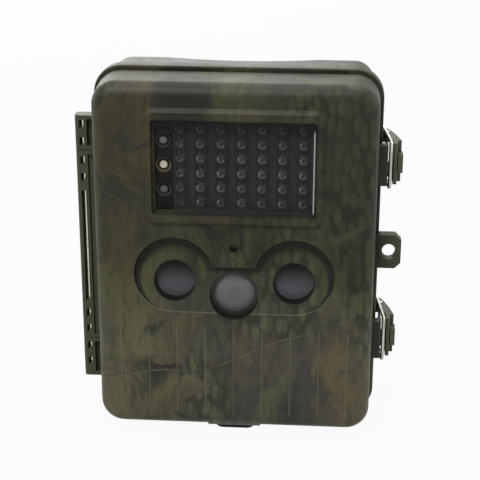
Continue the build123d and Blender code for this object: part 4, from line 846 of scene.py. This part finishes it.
def round_wire(path, radius, sides, across, nose=0.3):
    """Round wire along a flat path: rings p + r (cos a . side + sin a . across), with rounded-off ends."""
    across = np.asarray(across, float) / np.linalg.norm(across)
    way = np.gradient(path, axis=0)
    way /= np.linalg.norm(way, axis=1)[:, None]
    inset = path[:1] + way[:1] * nose, path[1:-1], path[-1:] - way[-1:] * nose
    path = np.vstack([path[:1], *inset, path[-1:]])
    way = np.vstack([way[:1], way, way[-1:]])
    side = np.cross(across, way)
    reach = np.full(len(path), radius)
    reach[[0, -1]] = radius - nose
    angle = np.linspace(0, TURN, sides, endpoint=False)[None, :, None]
    out = np.cos(angle) * side[:, None, :] + np.sin(angle) * across
    return skin(path[:, None, :] + reach[:, None, None] * out)


def coil(low_r, high_r, length, turns, section, per_turn, origin):
    """Helix about Z, its radius going from low_r to high_r over its length.

    Its point is (low_r + (high_r - low_r) t) out(t) + length t up, and section is (outward, up) pairs.
    """
    u, v, w = frame_about(UP)
    t = np.linspace(0, 1, int(turns * per_turn) + 1)[:, None]
    out = np.cos(TURN * turns * t) * u + np.sin(TURN * turns * t) * v
    line = origin + (low_r + (high_r - low_r) * t) * out + length * t * w
    section = np.asarray(section, float)
    return skin(line[:, None, :] + section[None, :, :1] * out[:, None, :] + section[None, :, 1:] * w)


def plate(outline, low, high, ease, axis=FRONT, across=(1, 0, 0)):
    """Flat plate on a star-shaped outline: rings at low and high, drawn in by the ease at the top."""
    w = np.asarray(axis, float)
    u = np.asarray(across, float)
    v = np.cross(w, u)
    flat = np.asarray(outline, float)
    middle = flat.mean(0)
    out = (flat - middle) / np.linalg.norm(flat - middle, axis=1)[:, None]
    flats = np.stack([flat, flat, flat - out * ease])
    level = np.array([low, high - ease, high])[:, None, None]
    return skin(flats[..., :1] * u + flats[..., 1:] * v + level * w)


def round_box(width, height, corner, per_corner=5):
    """Outline of a rectangle with quarter-circle corners, as (across, up) pairs."""
    angle = (np.arange(4)[:, None] + np.linspace(0, 1, per_corner)[None, :]) * np.pi / 2
    way_x = np.array([1, -1, -1, 1])[:, None] * (width / 2 - corner)
    way_y = np.array([1, 1, -1, -1])[:, None] * (height / 2 - corner)
    return np.stack([way_x + corner * np.cos(angle), way_y + corner * np.sin(angle)], -1).reshape(-1, 2)


def cross_head(axis, head_r=2.6, head_t=1.3, cross_r=1.5, shank_r=1.2, shank_len=6.0, sides=56, rows=26):
    """Pan head with a cross recess, over a tapering shank.

    The top is h = head_t (1 - 0.45 (r/R)^2.6), less a cross 0.62 head_t deep whose arms narrow with depth:
    the recess is the product of steps in the smaller of |x|, |y| and in r.
    """
    angle = np.linspace(0, TURN, sides, endpoint=False)[None, :]
    r = np.linspace(0.02, 1.0, rows)[::-1, None] * head_r
    x, y = r * np.cos(angle), r * np.sin(angle)
    arm = np.clip((0.26 * cross_r - np.minimum(abs(x), abs(y))) / (0.1 * cross_r), 0, 1)
    reach = np.clip((cross_r - r) / (0.35 * cross_r), 0, 1)
    h = head_t * (1 - 0.45 * (r / head_r) ** 2.6) - 0.62 * head_t * arm * reach
    shank = np.array([(0.15, -shank_len), (shank_r * 0.55, -shank_len + 0.9), (shank_r, -shank_len + 2.0),
                      (shank_r, 0.0), (head_r * 0.96, 0.0)])
    r, k = shank[:, :1], shank[:, 1:] + 0 * angle
    rings = np.vstack([np.stack([r * np.cos(angle), r * np.sin(angle), k], -1), np.stack([x, y, h], -1)])
    u, v, w = frame_about(axis)
    return skin(rings[..., :1] * u + rings[..., 1:2] * v + rings[..., 2:] * w)


def piece(name, shape, finish, body, *nodes_replaced):
    """Put a shape into the scene as a piece that rides on a body, in place of CAD nodes if any are named."""
    mesh = bpy.data.meshes.new(name)
    faces = [corner for group in shape.faces for corner in group.tolist()]
    mesh.from_pydata((shape.points * MM).tolist(), [], faces)
    mesh.polygons.foreach_set("use_smooth", np.ones(len(faces), bool))
    mesh.set_sharp_from_angle(angle=math.radians(35.0))
    mesh.materials.append(finish)
    made = bpy.data.objects.new(name, mesh)
    bpy.context.collection.objects.link(made)
    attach(made, body)
    if nodes_replaced:
        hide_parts(*nodes_replaced)


# ------------------------------------------------------------------ wire bails
BAIL_ENDS, BAIL_HALF = 7.0, 9.45
for name, z in (("upper", LATCH_Z), ("lower", -LATCH_Z)):
    corners = [(PIVOT, BAIL_ENDS), (PIVOT, BAIL_HALF), (HOOK, BAIL_HALF)]
    corners += [(place, -up) for place, up in corners[::-1]]
    loop = [spot(*place, z + up) for place, up in corners]
    square = np.cross(loop[2] - loop[1], UP)
    bail = round_wire(eased(loop, 1.35), 0.75, 20, square)
    piece(f"{name}_wire_bail", bail, bail_steel, f"{name}_bail", f"{name}_bail")

# ------------------------------------------------------------------ infrared lamps
lamp_spots = [spot(LAMP_X + (col - 3) * COLUMN, LAMP_DEPTH, LAMP_Z + (row - 2.5) * ROW)
              for col in range(7) for row in range(6)]
lamp = [(2.85, 0.0), (2.85, 0.85), (2.7, 1.0), (2.5, 1.0)] + dome(2.5, 4.4, 2.6, 8)
piece("lamp_domes", turned(lamp, 28).at(lamp_spots), lamp_resin(), "cover", "infrared_leds")
cup = [(0.25, 0.6), (0.55, 0.6), (1.25, 3.3), (1.05, 3.3), (0.6, 2.6), (0.0, 2.6)]
die = plate(round_box(0.6, 0.6, 0.05, 2), 2.55, 2.85, 0.05)
piece("lamp_cups", (turned(cup, 16) + die).at(lamp_spots), cup_silver, "cover")

# ------------------------------------------------------------------ lens elements behind the round windows
lens_spots = [spot(x, 9.0, LENS_Z) for x in (-LENS_X, LENS_X)]
element = [(3.15, -1.2)] + dome(3.15, -0.4, 1.0, 9)
piece("lens_elements", turned(element, 40).at(lens_spots), coated_glass, "cover")

# ------------------------------------------------------------------ screws
for label, body, axis, depth, right, up in (
    ("panel", "cover", BACK, 21.7, 46.0, 63.24),
    ("tray", "rear_case", FRONT, 42.5, 37.2, 50.0),
):
    spots = [spot(x, depth, z) for x in (-right, right) for z in (-up, up)]
    piece(f"{label}_screw_heads", cross_head(axis).at(spots), screw_zinc, body, f"{label}_screws")

# ------------------------------------------------------------------ cells and their contacts
bays = [((col - 1.5) * CELL_PITCH, z, 1 if (col + row) % 2 else -1)
        for col in range(4) for row, z in enumerate((-CELL_Z, CELL_Z))]
jacket = [(5.9, 0.35), (6.55, 0.0), (6.95, 0.12), (7.15, 0.5), (7.15, 48.3), (7.0, 48.75), (6.6, 49.0),
          (6.1, 48.8), (6.0, 48.5), (6.0, 0.6)]
caps = [(0.0, 0.25), (5.6, 0.25), (5.95, 0.5), (5.95, 48.6), (5.6, 49.0), (3.3, 49.1), (2.7, 49.3),
        (2.7, 50.1), (2.35, 50.5), (0.0, 50.5)]
cell_film = cell_jacket()
for way, label in ((1, "up"), (-1, "down")):
    low = way * (BAY_HALF - TAB_T - CELL_LONG)
    feet = [spot(x, CELL_DEPTH, z + low) for x, z, turn in bays if turn == way]
    for part, shape, finish in (
        ("jackets", lathe_ring(jacket, 40, (0, 0, way)), cell_film),
        ("ends", turned(caps, 32, (0, 0, way)), cell_steel),
    ):
        piece(f"cells_{label}_{part}", shape.at(feet), finish, "rear_case", "battery_cells")
spring_wire = [(0.32 * math.cos(a), 0.32 * math.sin(a)) for a in np.linspace(0, TURN, 8, endpoint=False)]
springs = [coil(4.1, 2.4, way * 4.6, 3.6, spring_wire, 22, spot(x, CELL_DEPTH, z - way * 27.6))
           for x, z, way in bays]
tab_spots = [spot(x, CELL_DEPTH - 2.65, z + up) for x, z, _ in bays for up in (-BAY_HALF, BAY_HALF - TAB_T)]
contacts = sum(springs, plate(round_box(9.0, 9.0, 0.8), 0.0, 0.45, 0.1, UP).at(tab_spots))
piece("cell_contacts", contacts, contact_nickel, "rear_case", "battery_contacts")

# ------------------------------------------------------------------ thread of the tripod socket
ridge = [(0.1, -0.5), (-0.42, -0.08), (-0.42, 0.08), (0.1, 0.5)]
piece("socket_thread", coil(3.3, 3.3, 10.4, 8.2, ridge, 40, (0.0, 0.0, 0.7)), brass, "rear_case")


# ------------------------------------------------------------------ marks on the keys
def key_mark(outline, quarter=0, z=0.0):
    """Raised mark turned by quarters of a turn, seen from behind the cover."""
    a = quarter * np.pi / 2
    flat = np.asarray(outline) @ np.array([[math.cos(a), math.sin(a)], [-math.sin(a), math.cos(a)]])
    return plate(flat + (0.0, z), 0.0, 0.22, 0.08, BACK, (-1, 0, 0))


arrow = np.array([(0.0, 1.7), (-1.75, -1.1), (1.75, -1.1)])
bar = round_box(3.6, 0.55, 0.2, 3)
loop = [(1.75, 0.0), (1.3, 0.0), (1.3, 0.18), (1.4, 0.22), (1.65, 0.22), (1.75, 0.18)]
for key, x, z, shape in (
    ("up", 0.0, KEY_TOP, key_mark(arrow)),
    ("down", 0.0, KEY_LOW, key_mark(arrow, 2)),
    ("left", -KEY_X, KEY_LOW, key_mark(arrow, 3)),
    ("right", KEY_X, KEY_LOW, key_mark(arrow, 1)),
    ("menu", -KEY_X, KEY_TOP, key_mark(bar, 0, 1.3) + key_mark(bar) + key_mark(bar, 0, -1.3)),
    ("ok", KEY_X, KEY_TOP, lathe_ring(loop, 36, BACK)),
):
    piece(f"{key}_key_mark", shape.at([spot(x, KEY_FACE, z)]), mark_ink, f"{key}_key")
